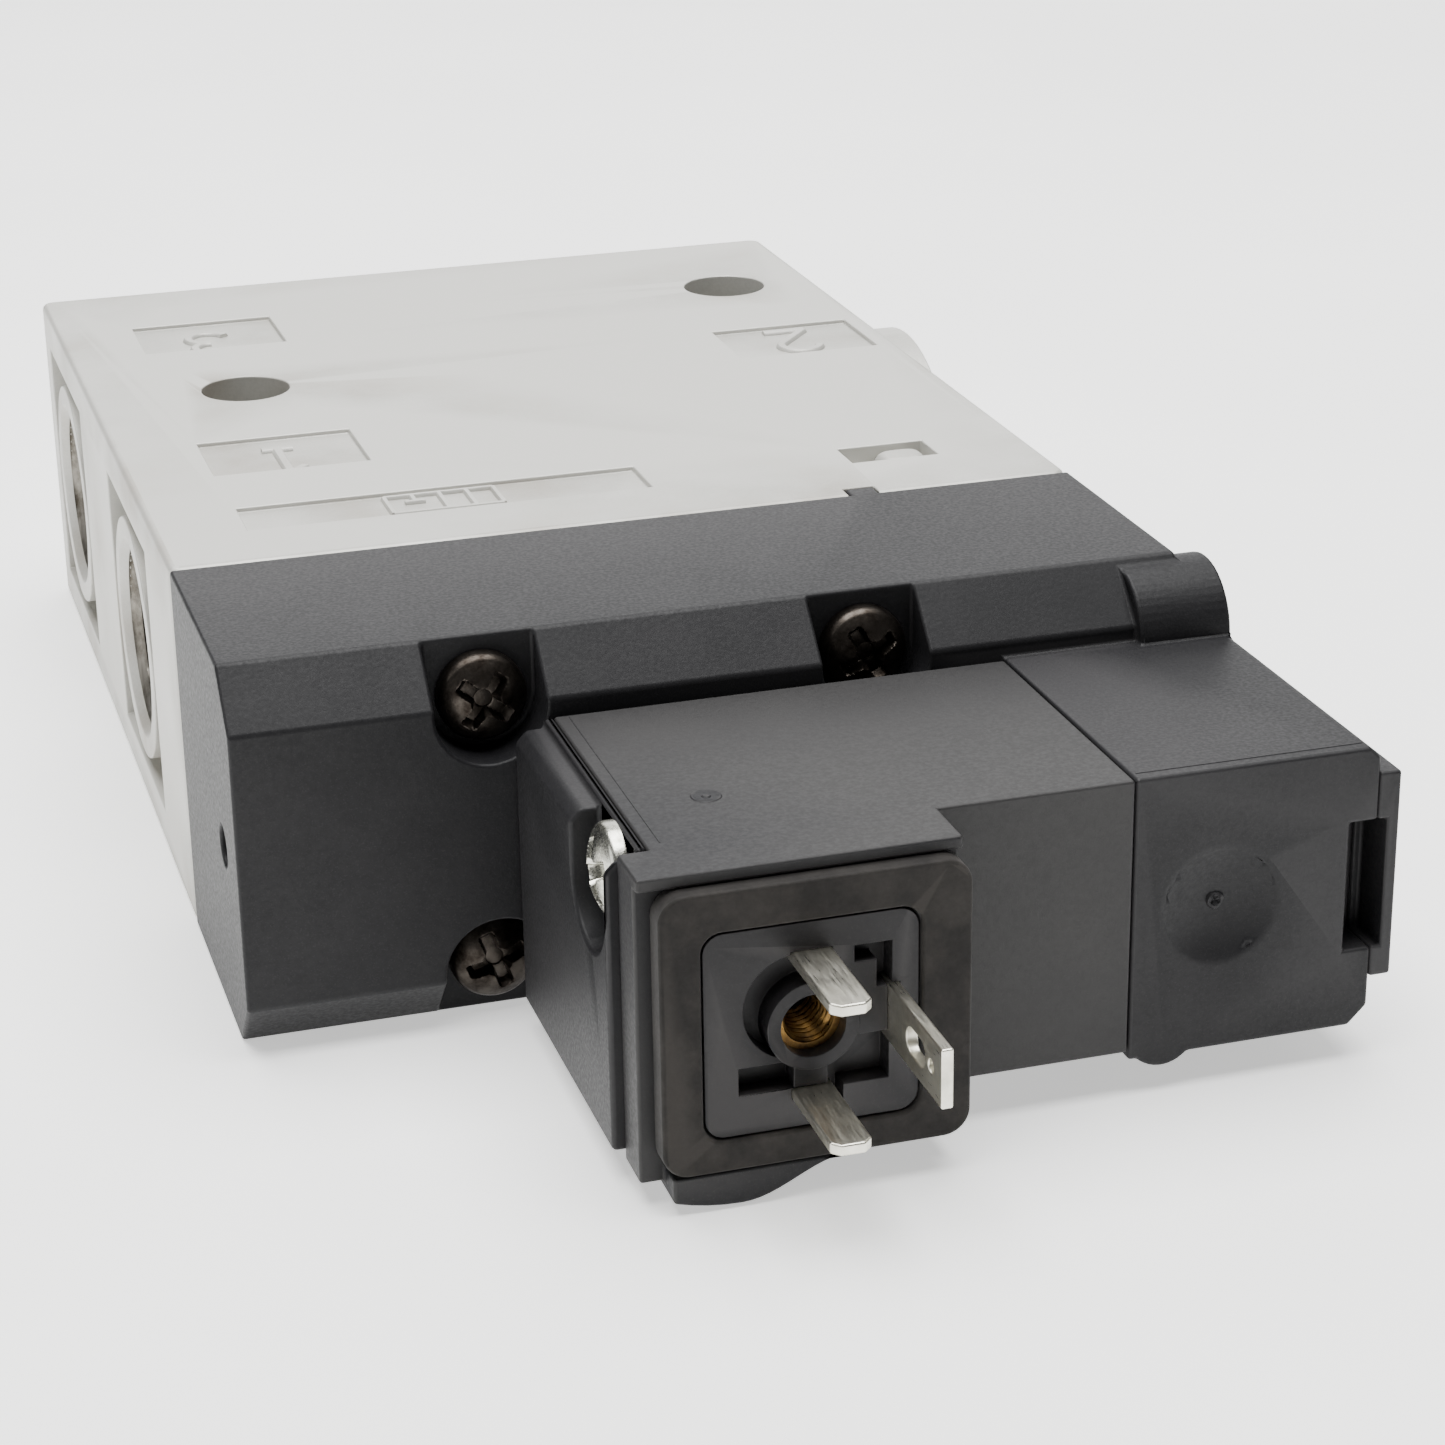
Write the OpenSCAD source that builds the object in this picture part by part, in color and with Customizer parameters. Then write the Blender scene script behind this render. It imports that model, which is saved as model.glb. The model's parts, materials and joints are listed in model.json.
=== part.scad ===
// Pilot-operated 3/2-way pneumatic solenoid valve, lying flat, spring return.
// Origin: centre of the valve body's flat base. +X to the right, +Y to the
// rear (away from the coil), +Z up. The spool slides along Y, the armature
// and the override button along X.

/* [Valve body] */
// Width of the valve body along X
body_w = 62; // [60:0.2:76]
// Depth of the valve body along Y
body_d = 71; // [71:0.2:88]
// Height of the valve body along Z
body_h = 25; // [25:0.2:31]
// Radius of the upright corners of the body
body_corner_r = 1; // [0.6:0.1:2]
// Depth of the cast pockets round the ports on the left face
side_pocket_depth = 1.5; // [0.8:0.1:2]
// Height of the cast pockets round the ports
side_pocket_h = 19; // [18:0.1:20.5]
// Length of each cast pocket along Y
side_pocket_l = 19.4; // [18:0.1:22]
// Depth of the sunken label fields on top
label_depth = 0.35; // [0.2:0.05:1]

/* [Ports] */
// Major diameter of the G1/4 port thread
port_d = 13.16; // [9.7:0.02:14]
// Depth of each threaded port
port_depth = 12; // [9:0.5:14]
// Depth of the countersink at the mouth of each port
port_chamfer = 0.6; // [0.2:0.1:1]
// Diameter of the drilled passage from a port to the spool bore
passage_d = 8; // [5:0.1:9]
// Outer diameter of the cast ring round each left port
port_ring_d = 17.4; // [15:0.1:17.8]
// Diameter of the boss round port 2
port_boss_d = 24; // [20:0.1:24.8]
// Height of the boss round port 2 above the right face
port_boss_h = 2.4; // [1:0.1:4]
// Distance of port 1 from the front seam
port_1_y = 22.5; // [21.5:0.1:24]
// Distance of port 2 from the front seam
port_2_y = 39.5; // [38.5:0.1:41]
// Distance of port 3 from the front seam
port_3_y = 57.5; // [56.5:0.1:58.5]

/* [Mounting holes] */
// Diameter of the two through holes, clearance for M6
mount_d = 6.6; // [5.5:0.1:7]
// Hole 1 from the left face
mount_1_x = 11.7; // [11:0.1:13]
// Hole 1 from the front seam
mount_1_y = 39.8; // [39:0.1:41]
// Hole 2 from the right face
mount_2_in = 7.5; // [6:0.1:9]
// Hole 2 from the front seam
mount_2_y = 56.4; // [55:0.1:60]

/* [Spool and sleeve] */
// Spool axis from the left face
spool_from_left = 28.3; // [28:0.1:30]
// Diameter of the spool bore in the body
bore_d = 16; // [15:0.1:17]
// Depth of the spool bore from the seam
bore_depth = 66; // [65.8:0.1:68]
// Inner diameter of the sleeve's sealing lands
land_bore_d = 10; // [9.6:0.1:10.6]
// Inner diameter of the sleeve's flow chambers
chamber_d = 13; // [12:0.1:13.4]
// Diameter of the spool's lands
land_d = 9.6; // [8.6:0.05:9.7]
// Diameter of the spool's waist between lands
waist_d = 5.2; // [4:0.1:6]
// Travel of the spool
spool_travel = 5; // [4.8:0.1:5.5]
// Radial running clearance of every sliding seal and pin
run_clear = 0.05; // [0.02:0.01:0.09]

/* [Pilot piston] */
// Diameter of the piston chamber in the cover
piston_bore_d = 18; // [16:0.1:18.4]
// Thickness of the piston
piston_t = 5; // [4:0.1:5.6]
// Diameter of the piston's push rod
piston_rod_d = 6; // [4:0.1:8]

/* [Cover and pilot block] */
// Depth of the cover in front of the seam
cover_d = 21.3; // [20.6:0.1:23]
// Depth of the bevel along the cover's front edges
bevel_d = 3.3; // [2.6:0.1:3.8]
// Drop of the bevel along the cover's front edges
bevel_h = 3.5; // [2.6:0.1:3.8]
// Overhang of the pilot block beyond the body's right face
pilot_over = 2.6; // [2.4:0.1:4]
// Length of the pilot block along X
pilot_w = 15.6; // [15:0.1:17]
// Front face of the pilot block, from the seam
pilot_front = 42.3; // [41.9:0.1:43]
// Underside of the pilot block
pilot_z0 = 2.4; // [2:0.1:3.2]
// Top of the pilot block and the coil
pilot_z1 = 20.5; // [20.3:0.1:20.8]
// Diameter of the round dimple on the pilot block's front
dimple_d = 7.5; // [5:0.1:9]
// Diameter of the pilot exhaust vent in the cover's left side
vent_d = 2.6; // [1.6:0.1:3]

/* [Screws] */
// Thread diameter of the M3 pan-head screws
screw_d = 3; // [2.5:0.1:3.5]
// Head diameter of the screws
head_d = 5.6; // [5:0.1:6]
// Head height of the cover screws
head_h = 2.2; // [1.8:0.1:2.5]
// Head height of the retainer screw
retainer_head_h = 1.8; // [1.6:0.1:2.2]
// Depth of the cover screws' thread in the body
screw_bite = 8; // [5:0.5:12]
// Width of the cover's pockets round the screw heads
head_pocket_w = 7; // [6.4:0.1:7.6]
// Distance between the cover screws along X
screw_pitch_x = 24.6; // [24:0.1:26]
// Distance between the cover screws along Z
screw_pitch_z = 17.4; // [17:0.1:17.8]
// Clearance round a screw shank, per side
screw_clear = 0.2; // [0.1:0.05:0.4]

/* [Manual override] */
// Outer diameter of the override boss
override_boss_d = 8.5; // [8:0.1:9]
// Height of the override boss beyond the body's right face
override_boss_h = 2.2; // [1.4:0.1:2.5]
// Diameter of the override button
button_d = 4.4; // [3:0.1:5]
// Travel of the override button
button_travel = 1.5; // [0.8:0.1:2]
// Diameter of the override bore
override_bore_d = 6.4; // [5.8:0.1:6.8]

/* [Armature] */
// Outer diameter of the armature tube
tube_d = 8; // [7.4:0.1:8.4]
// Wall of the armature tube
tube_wall = 0.7; // [0.5:0.05:0.9]
// Stroke of the armature
armature_stroke = 0.8; // [0.5:0.1:1.2]
// Length of the armature
armature_l = 15.4; // [14:0.1:16]

/* [Coil] */
// Length of the coil along X
coil_l = 29.2; // [28.6:0.1:31]
// Gap between the coil and the cover
coil_gap = 0.4; // [0.3:0.1:1]
// Gap between the coil and the pilot block
seam_gap = 0.1; // [0.05:0.05:0.3]
// Front face of the coil, from the seam
coil_front = 42.4; // [42:0.1:43]
// Underside of the coil
coil_z0 = 3; // [2.6:0.1:3.4]
// Wall of the coil's encapsulation above and below the yoke
coil_wall = 1.5; // [1:0.1:1.8]
// Thickness of the yoke's end plates
yoke_t = 2; // [1.5:0.1:2.4]
// Outer diameter of the winding
winding_d = 12.2; // [10.6:0.1:12.4]
// Wall of the bobbin
bobbin_wall = 0.7; // [0.5:0.1:1]

/* [Connector] */
// Centre of the plug face, from the coil's left end
plug_x = 7.9; // [7.6:0.1:8.2]
// Height of the plug face's centre
plug_z = 10.8; // [10.6:0.1:11]
// Width of the connector block
block_w = 18.9; // [18.6:0.1:19.4]
// Front of the connector block under the gasket, from the seam
block_front = 45.8; // [45.2:0.1:46.6]
// Reach of the brim above the gasket beyond the block
brim_reach = 0.7; // [0.3:0.1:1.2]
// Width of the gasket
gasket_w = 18.2; // [17.6:0.1:18.6]
// Height of the gasket
gasket_h = 17.2; // [16.8:0.1:17.8]
// Thickness of the gasket
gasket_t = 1.8; // [1.2:0.1:2.4]
// Width of the plug platform inside the gasket
platform_w = 12.6; // [12:0.1:13.2]
// Height of the plug platform inside the gasket
platform_h = 12.6; // [11.6:0.1:13]
// Distance between the two contact blades
contact_pitch = 8.4; // [8:0.1:8.8]
// Width of a contact blade
blade_w = 2.4; // [2:0.1:2.8]
// Thickness of every blade
blade_t = 0.7; // [0.5:0.1:0.8]
// Tip of the contact blades, from the seam
blade_tip = 54.5; // [52:0.1:58]
// Tip of the ground blade, from the seam
ground_tip = 56; // [53:0.1:60]
// Distance of the ground blade from the plug centre
ground_off = 4.8; // [4.6:0.1:5]
// Width of the ground blade along Z
ground_w = 3.6; // [3:0.1:4]

/* [Retainer plate] */
// Thickness of the coil's retainer plate
plate_t = 1.9; // [1.6:0.1:2.4]
// Diameter of the plate's recess round the screw head
plate_recess_d = 7.4; // [6.8:0.1:7.6]
// Thickness left under the screw head
plate_floor = 0.6; // [0.4:0.1:0.8]

/* [Hidden] */
$fn = 64;

eps = 0.01;                            // overshoot of a cut past a face
left_x = -body_w / 2;                  // left face of the body
right_x = body_w / 2;                  // right face of the body
seam_y = -body_d / 2;                  // seam between body and cover
mid_z = body_h / 2;                    // height of ports and spool axis

// Locating tab of the cover, and its notch in the body.
tab_x = right_x - 14.8;
tab_w = 2;
tab_l = 1.3;                           // reach into the body
tab_h = 2;
tab_gap = 0.1;

// Label fields beside the ports, the symbol field and the small pocket.
label_w = 11;
label_l = 8;
label_in = 6;                          // from the left face
label_2_in = 1.6;                      // from the right face
label_1_shift = -3.6;                  // front edges, from the ports' axes
label_2_shift = -4.5;
label_3_shift = -5.5;
symbol_place = [6.2, 6.3];             // from the left face and the seam
symbol_size = [27.8, 4.9];
pocket_in = 13.3;                      // left edge, from the right face
pocket_y = 6.8;                        // front edge, from the seam
pocket_size = [6.3, 3.4, 1.5];

// Spool and sleeve places, as distances behind the seam.
spool_x = left_x + spool_from_left;
spool_r = land_bore_d / 2 - run_clear;   // outer radius of the spool seals
chamber_half = 5.5;                      // half the length of a flow chamber
land_a = [port_1_y + chamber_half, port_2_y - chamber_half]; // ports 1 and 2
land_b = [port_2_y + chamber_half, port_3_y - chamber_half]; // ports 2 and 3
chamber_1 = [port_1_y - chamber_half + 1, land_a[0]];
chamber_2 = [land_a[1], land_b[0]];
chamber_3 = [land_b[1], port_3_y + chamber_half - 1];
sleeve_end = chamber_3[1] + 3;
sleeve_gap = 0.2;                        // sleeve front behind the seam
spool_front = 0.5;                       // front end of the spool
land_gap = 0.5;                          // land past the sleeve's edge
spool_land_l = spool_travel - 2 * land_gap; // length of a control land
spool_land_a = land_a[1] - land_gap - spool_land_l; // front of land A at rest
spool_land_b = land_b[0] - land_gap - spool_land_l; // front of land B at rest
spool_end = port_3_y - 2;                // tail of the spool
seal_w = 1.6;                            // width of a seal along its axis
seal_depth = 1;                          // radial depth of a seal groove

// Piston, moving with the spool.
piston_bore_depth = piston_t + spool_travel + 2.6; // chamber, from the seam
piston_y = -(piston_bore_depth - 0.6);   // front of the piston at rest
cover_seal_r = piston_bore_d / 2 + 0.8;  // inner radius of the cover seal
cover_seal_w = 1.2;                      // radial width of the cover seal

// Cover screws round the spool axis.
screw_xs = [spool_x - screw_pitch_x / 2, spool_x + screw_pitch_x / 2];
screw_zs = [mid_z - screw_pitch_z / 2, mid_z + screw_pitch_z / 2];
head_seat_y = seam_y - (cover_d - bevel_d);  // floor of the head pockets
supply_x = left_x + 8.5;                 // pilot supply drilling
supply_z = mid_z - 4.5;
supply_d = 2.4;
drill_d = 1.8;                           // cross drillings
cross_y = seam_y - piston_bore_depth - 1.9; // in front of the piston chamber
vent_y = seam_y - 16.1;                  // breather of the piston's rear side
vent_z = 12.4;
vent_depth = 8;
vent_in_y = seam_y - 3;

// Pilot block.
pilot_right = right_x + pilot_over;
pilot_left = pilot_right - pilot_w;
pilot_y = seam_y - pilot_front;
chamfer = 1.2;                           // lower right corner of the block
dimple_ball = 8.5;                       // radius of the ball that sinks it
dimple_x = pilot_left + 5.6;

// Manual override.
override_y = seam_y - (cover_d - bevel_d);
override_z = body_h - 4.7;
override_x1 = right_x + override_boss_h;  // outer end of the boss
bush_l = 2;
button_flange_l = 1.6;
override_depth = bush_l + button_flange_l + button_travel + 3.9;

// Armature axis, through the middle of the coil.
coil_right = pilot_left - seam_gap;
coil_left = coil_right - coil_l;
coil_back = seam_y - cover_d - coil_gap;
coil_y1 = seam_y - coil_front;
axis_y = (coil_back + coil_y1) / 2;
axis_z = (coil_z0 + pilot_z1) / 2;
tube_x0 = coil_left + 0.5;
tube_flange_d = 11;
tube_flange_l = 3;
tube_x1 = pilot_left + tube_flange_l;
armature_x1 = pilot_left + 2.4;          // right end of the armature, closed
armature_x0 = armature_x1 - armature_l;
core_x1 = armature_x0 - armature_stroke - 0.05; // right end of the fixed core
seat_x = armature_x1 + 0.32;             // tip of the pilot seat
seat_l = 5;                              // seat insert behind the tube
seat_drill_x = tube_x1 + 1.6;            // supply drilling into the seat
signal_x = pilot_left + 9.6;             // signal drilling out of the chamber
signal_z = axis_z + 2.75;
signal_d = 1.6;
armature_pocket = 6;                     // depth of the spring's pocket

// Coil inside.
yoke_x0 = coil_left + 2;
yoke_x1 = coil_right - 2;
yoke_y0 = coil_y1 + 2.3;
yoke_y1 = coil_back - 2.3;
yoke_z0 = coil_z0 + coil_wall;
yoke_z1 = pilot_z1 - coil_wall;
tube_hole_d = tube_d + 0.2;
bobbin_d = tube_hole_d + 2 * bobbin_wall;
flange_t = 1;
flange_d = winding_d + 0.4;              // bobbin flanges
yoke_back = 1.4;                         // yoke plate along the rear side

// Connector.
plug_px = coil_left + plug_x;
block_y = seam_y - block_front;
block_x0 = plug_px - block_w / 2 - 0.25;
block_x1 = block_x0 + block_w;
gasket_x = plug_px + 0.3;                // centre of the gasket's outline
gasket_z = plug_z + 0.25;
block_z0 = gasket_z - gasket_h / 2 - 0.95;
brim_z0 = gasket_z + gasket_h / 2 + 0.05; // underside of the brim
gasket_y = block_y - gasket_t;
platform_y = gasket_y + 0.2;
base_back = coil_y1 - 0.2;
blade_root = base_back - 1;
block_rear = coil_y1 - 0.25;             // rear of the block beside the plate
foot_drop = 1.28;                        // lobe below the block
foot_r = 13;                             // radius of the lobe's underside
foot_x0 = block_x0 + 1.5;                // left side of the lobe
foot_low_x = block_x0 + 5.5;             // lowest point of the lobe
foot_rise = 2.1;                         // lobe's edge rises by this
foot_run = 6.5;                          // over this length
foot_steps = 12;
pin_boss_d = 5.4;
insert_d = 3.8;
insert_thread_d = 3;
insert_l = 4.1;
// The insert stands on the floor behind the plug base.
insert_y = base_back - insert_l;
well_d = 6.4;                            // round well behind the boss
well_off = [-0.8, 1.2];                  // its centre, from the plug's
well_depth = 1.4;
// Coding slots of the plug face: left, bottom, width and height.
coding_slots = [[-4.3, -3.8, 3.2, 1.65], [0.9, -4.05, 3.6, 2.95],
    [0.9, -5.2, 0.9, 1.4], [2.5, 3.4, 2.2, 1], [3.8, 1.7, 0.9, 1.8]];

// Retainer plate and its screw.
plate_x1 = coil_left - plate_floor;      // back of the plate's thick part
plate_x0 = plate_x1 - plate_t;
plate_y0 = coil_y1 - 0.2;
plate_y1 = coil_back - 0.2;
plate_z0 = coil_z0 - 1;
plate_z1 = pilot_z1 - 0.5;
plate_screw_y = coil_y1 + 3.9;
plate_screw_z = pilot_z1 - 2.8;
retainer_bite = 5.5;                     // thread in the pilot block

// End cap over the pilot valve chamber.
cap_t = 1.4;
cap_z = [5.5, 18.8];
window_z = [7.5, 15.8];
window_w = 1.8;                          // width of the window in the block
window_depth = 3;
cap_leg = 0.8;                           // wall left in the cap at the window
chamber_end_d = 9;
cap_spigot_l = 4;

// A rod along +X from the current origin.
module rod_x(l, d) { rotate([0, 90, 0]) cylinder(h = l, d = d); }

// A rod along +Y from the current origin.
module rod_y(l, d) { rotate([-90, 0, 0]) cylinder(h = l, d = d); }

// A tube along +X.
module tube_along_x(l, od, id) {
    difference() {
        rod_x(l, od);
        translate([-1, 0, 0]) rod_x(l + 2, id);
    }
}

// A tube along +Y.
module tube_along_y(l, od, id) {
    difference() {
        rod_y(l, od);
        translate([0, -1, 0]) rod_y(l + 2, id);
    }
}

// A box between two corners.
module span(lo, hi) { translate(lo) cube(hi - lo); }

// A rectangle with round corners, centred.
module round_rect(w, d, r) {
    square([w - 2 * r, d], center = true);
    square([w, d - 2 * r], center = true);
    for (sx = [-1, 1], sy = [-1, 1])
        translate([sx * (w / 2 - r), sy * (d / 2 - r)]) circle(r = r);
}

// A plate standing in the XZ plane, from y0 to y1, with round corners.
module upright(w, h, r, y0, y1) {
    translate([0, y1, 0]) rotate([90, 0, 0]) linear_extrude(y1 - y0) round_rect(w, h, r);
}

// Points of a helix wound round the Z axis: rings of a round wire.
function ring_point(rm, rw, len, turns, t, b) =
    let (a = 360 * turns * t, r = rm + rw * cos(b))
    [r * cos(a), r * sin(a), rw + (len - 2 * rw) * t + rw * sin(b)];

// A compression spring along +Z, standing on z = 0.
module coil_spring(rm, rw, len, turns) {
    per_turn = 14;
    sides = 6;
    rings = turns * per_turn;
    points = [for (i = [0:rings], k = [0:sides - 1])
        ring_point(rm, rw, len, turns, i / rings, 360 * k / sides)];
    walls = [for (i = [0:rings - 1], k = [0:sides - 1])
        [i * sides + k, (i + 1) * sides + k,
         (i + 1) * sides + (k + 1) % sides, i * sides + (k + 1) % sides]];
    start = [for (k = [0:sides - 1]) k];
    stop = [for (k = [sides - 1:-1:0]) rings * sides + k];
    polyhedron(points, concat(walls, [start], [stop]));
}

// A domed pan head on the plane z = 0 with its cross recess, shank below.
module pan_screw(shank_l, high) {
    dome_h = high * 0.55;
    dome_r = (pow(head_d / 2, 2) + pow(dome_h, 2)) / (2 * dome_h);
    difference() {
        union() {
            intersection() {
                cylinder(h = high, d = head_d);
                translate([0, 0, high - dome_r]) sphere(r = dome_r, $fn = 96);
            }
            translate([0, 0, -shank_l]) cylinder(h = shank_l + 0.2, d = screw_d);
        }
        for (a = [0, 90])
            rotate([0, 0, a + 20]) translate([0, 0, high - 0.4])
                cube([head_d * 0.62, 0.8, 2.4], center = true);
        translate([0, 0, high - 1.4]) cylinder(h = 3, d1 = 1, d2 = 2.6);
    }
}

// A label field sunk into the top of the body, from its near-left corner.
module label_field(x, y, w, d) {
    translate([left_x + x, seam_y + y, body_h - label_depth]) cube([w, d, 2]);
}

// A port along +X from its mouth at the origin: countersink and thread.
module port_hole() {
    translate([-eps, 0, 0]) rod_x(port_depth, port_d);
    translate([-eps, 0, 0]) rotate([0, 90, 0])
        cylinder(h = port_chamfer + eps, d1 = port_d + 2 * (port_chamfer + eps), d2 = port_d);
}

module valve_body() {
    color([0.78, 0.78, 0.76]) difference() {
        union() {
            linear_extrude(body_h) round_rect(body_w, body_d, body_corner_r);
            translate([right_x - 2, seam_y + port_2_y, mid_z])
                rod_x(port_boss_h + 2, port_boss_d);
        }
        // Cast pockets round the left ports, the port rings stay full height.
        for (y = [port_1_y, port_3_y]) translate([left_x, seam_y + y, mid_z]) {
            difference() {
                translate([-1, -side_pocket_l / 2, -side_pocket_h / 2])
                    cube([1 + side_pocket_depth, side_pocket_l, side_pocket_h]);
                translate([-2, 0, 0]) rod_x(5, port_ring_d);
            }
            port_hole();
            rod_x(spool_from_left, passage_d);
        }
        // Port 2 in its boss on the right.
        translate([right_x + port_boss_h, seam_y + port_2_y, mid_z])
            mirror([1, 0, 0]) port_hole();
        translate([spool_x, seam_y + port_2_y, mid_z])
            rod_x(body_w - spool_from_left, passage_d);
        // Spool bore, its breather, and the pilot supply drilling.
        translate([spool_x, seam_y - eps, mid_z]) rod_y(bore_depth, bore_d);
        translate([spool_x, seam_y + bore_depth - 1, mid_z])
            rod_y(body_d - bore_depth + 2, 1.6);
        translate([supply_x, seam_y - eps, supply_z]) rod_y(port_1_y, supply_d);
        // Threads of the cover screws.
        for (x = screw_xs, z = screw_zs)
            translate([x, seam_y - eps, z]) rod_y(screw_bite + 1, screw_d);
        // Mounting holes.
        for (p = [[mount_1_x, mount_1_y], [body_w - mount_2_in, mount_2_y]])
            translate([left_x + p[0], seam_y + p[1], -1])
                cylinder(h = body_h + 2, d = mount_d);
        // Label fields, and the pocket near the cover.
        label_field(label_in, port_3_y + label_3_shift, label_w, label_l);
        label_field(label_in, port_1_y + label_1_shift, label_w, label_l);
        label_field(body_w - label_2_in - label_w, port_2_y + label_2_shift, label_w, label_l);
        label_field(symbol_place[0], symbol_place[1], symbol_size[0], symbol_size[1]);
        translate([right_x - pocket_in, seam_y + pocket_y, body_h - pocket_size[2]])
            cube(pocket_size + [0, 0, 1]);
        // Notch for the cover's locating tab.
        translate([tab_x - tab_w / 2 - tab_gap, seam_y - 1, body_h - tab_h - tab_gap])
            cube([tab_w + 2 * tab_gap, 1 + tab_l + tab_gap, tab_h + 1]);
    }
}

module spool_sleeve() {
    color([0.72, 0.62, 0.35]) translate([spool_x, seam_y, mid_z]) difference() {
        translate([0, sleeve_gap, 0]) rod_y(sleeve_end - sleeve_gap, bore_d);
        translate([0, -1, 0]) rod_y(sleeve_end + 2, land_bore_d);
        for (c = [chamber_1, chamber_2, chamber_3]) {
            translate([0, c[0], 0]) rod_y(c[1] - c[0], chamber_d);
            // Four windows through the wall of each chamber.
            for (a = [0, 90]) rotate([0, a, 0])
                translate([-bore_d / 2 - 1, (c[0] + c[1]) / 2, 0])
                    rod_x(bore_d + 2, min(6, c[1] - c[0] - 1));
        }
        for (y = sleeve_seal_ys) translate([0, y, 0])
            tube_along_y(seal_w, bore_d + 2, bore_d - 2 * seal_depth);
    }
}

// Places of the seals on the sleeve, one on each side of every chamber.
sleeve_seal_ys = [chamber_1[0] - 4, (land_a[0] + land_a[1] - seal_w) / 2,
    (land_b[0] + land_b[1] - seal_w) / 2];

module sleeve_seals() {
    color([0.08, 0.08, 0.08]) for (y = sleeve_seal_ys)
        translate([spool_x, seam_y + y, mid_z])
            tube_along_y(seal_w, bore_d, bore_d - 2 * seal_depth);
}

// Fronts of the spool's seals: guide, land A and land B.
spool_seal_ys = [6, spool_land_a + (spool_land_l - seal_w) / 2,
    spool_land_b + (spool_land_l - seal_w) / 2];

module spool() {
    color([0.8, 0.8, 0.82]) translate([spool_x, seam_y, mid_z]) difference() {
        union() {
            translate([0, spool_front, 0]) rod_y(spool_end - spool_front, waist_d);
            translate([0, 2, 0]) rod_y(10, land_d);
            for (y = [spool_land_a, spool_land_b])
                translate([0, y, 0]) rod_y(spool_land_l, land_d);
        }
        for (y = spool_seal_ys) translate([0, y, 0])
            tube_along_y(seal_w, land_d + 2, land_d - 2 * seal_depth);
    }
}

module spool_seals() {
    color([0.1, 0.1, 0.1]) for (y = spool_seal_ys)
        translate([spool_x, seam_y + y, mid_z])
            tube_along_y(seal_w, 2 * spool_r, land_d - 2 * seal_depth);
}

module return_spring() {
    y0 = spool_land_b + spool_land_l;
    wire_r = 0.45;
    mean_r = (waist_d / 2 + land_bore_d / 2) / 2;
    color([0.7, 0.7, 0.7]) translate([spool_x, seam_y + y0, mid_z])
        rotate([-90, 0, 0]) coil_spring(mean_r, wire_r, bore_depth - y0, 8);
}

module pilot_piston() {
    color([0.85, 0.83, 0.75]) translate([spool_x, seam_y, mid_z]) difference() {
        union() {
            translate([0, piston_y, 0]) rod_y(piston_t, piston_bore_d - 0.4);
            translate([0, piston_y + 1, 0])
                rod_y(spool_front - piston_y - 1, piston_rod_d);
        }
        translate([0, piston_y + 1.6, 0])
            tube_along_y(seal_w, piston_bore_d + 2, piston_bore_d - 3.4);
    }
}

module piston_seal() {
    color([0.1, 0.1, 0.1]) translate([spool_x, seam_y + piston_y + 1.6, mid_z])
        tube_along_y(seal_w, piston_bore_d - 2 * run_clear, piston_bore_d - 3.4);
}

module cover_seal() {
    color([0.1, 0.1, 0.1]) translate([spool_x, seam_y - 1.4, mid_z])
        tube_along_y(1.4, 2 * (cover_seal_r + cover_seal_w), 2 * cover_seal_r);
}

module passage_seal() {
    color([0.1, 0.1, 0.1]) translate([supply_x, seam_y - 1.2, supply_z])
        tube_along_y(1.2, supply_d + 2.6, supply_d);
}

// One U-shaped pocket for a screw head, open towards the near long edge.
module head_pocket(x, z) {
    out = z > mid_z ? 1 : -1;
    depth = bevel_d + 2;
    translate([x, head_seat_y - depth, z]) {
        rod_y(depth, head_pocket_w);
        translate([-head_pocket_w / 2, 0, out > 0 ? 0 : -body_h])
            cube([head_pocket_w, depth, body_h]);
    }
}

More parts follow.
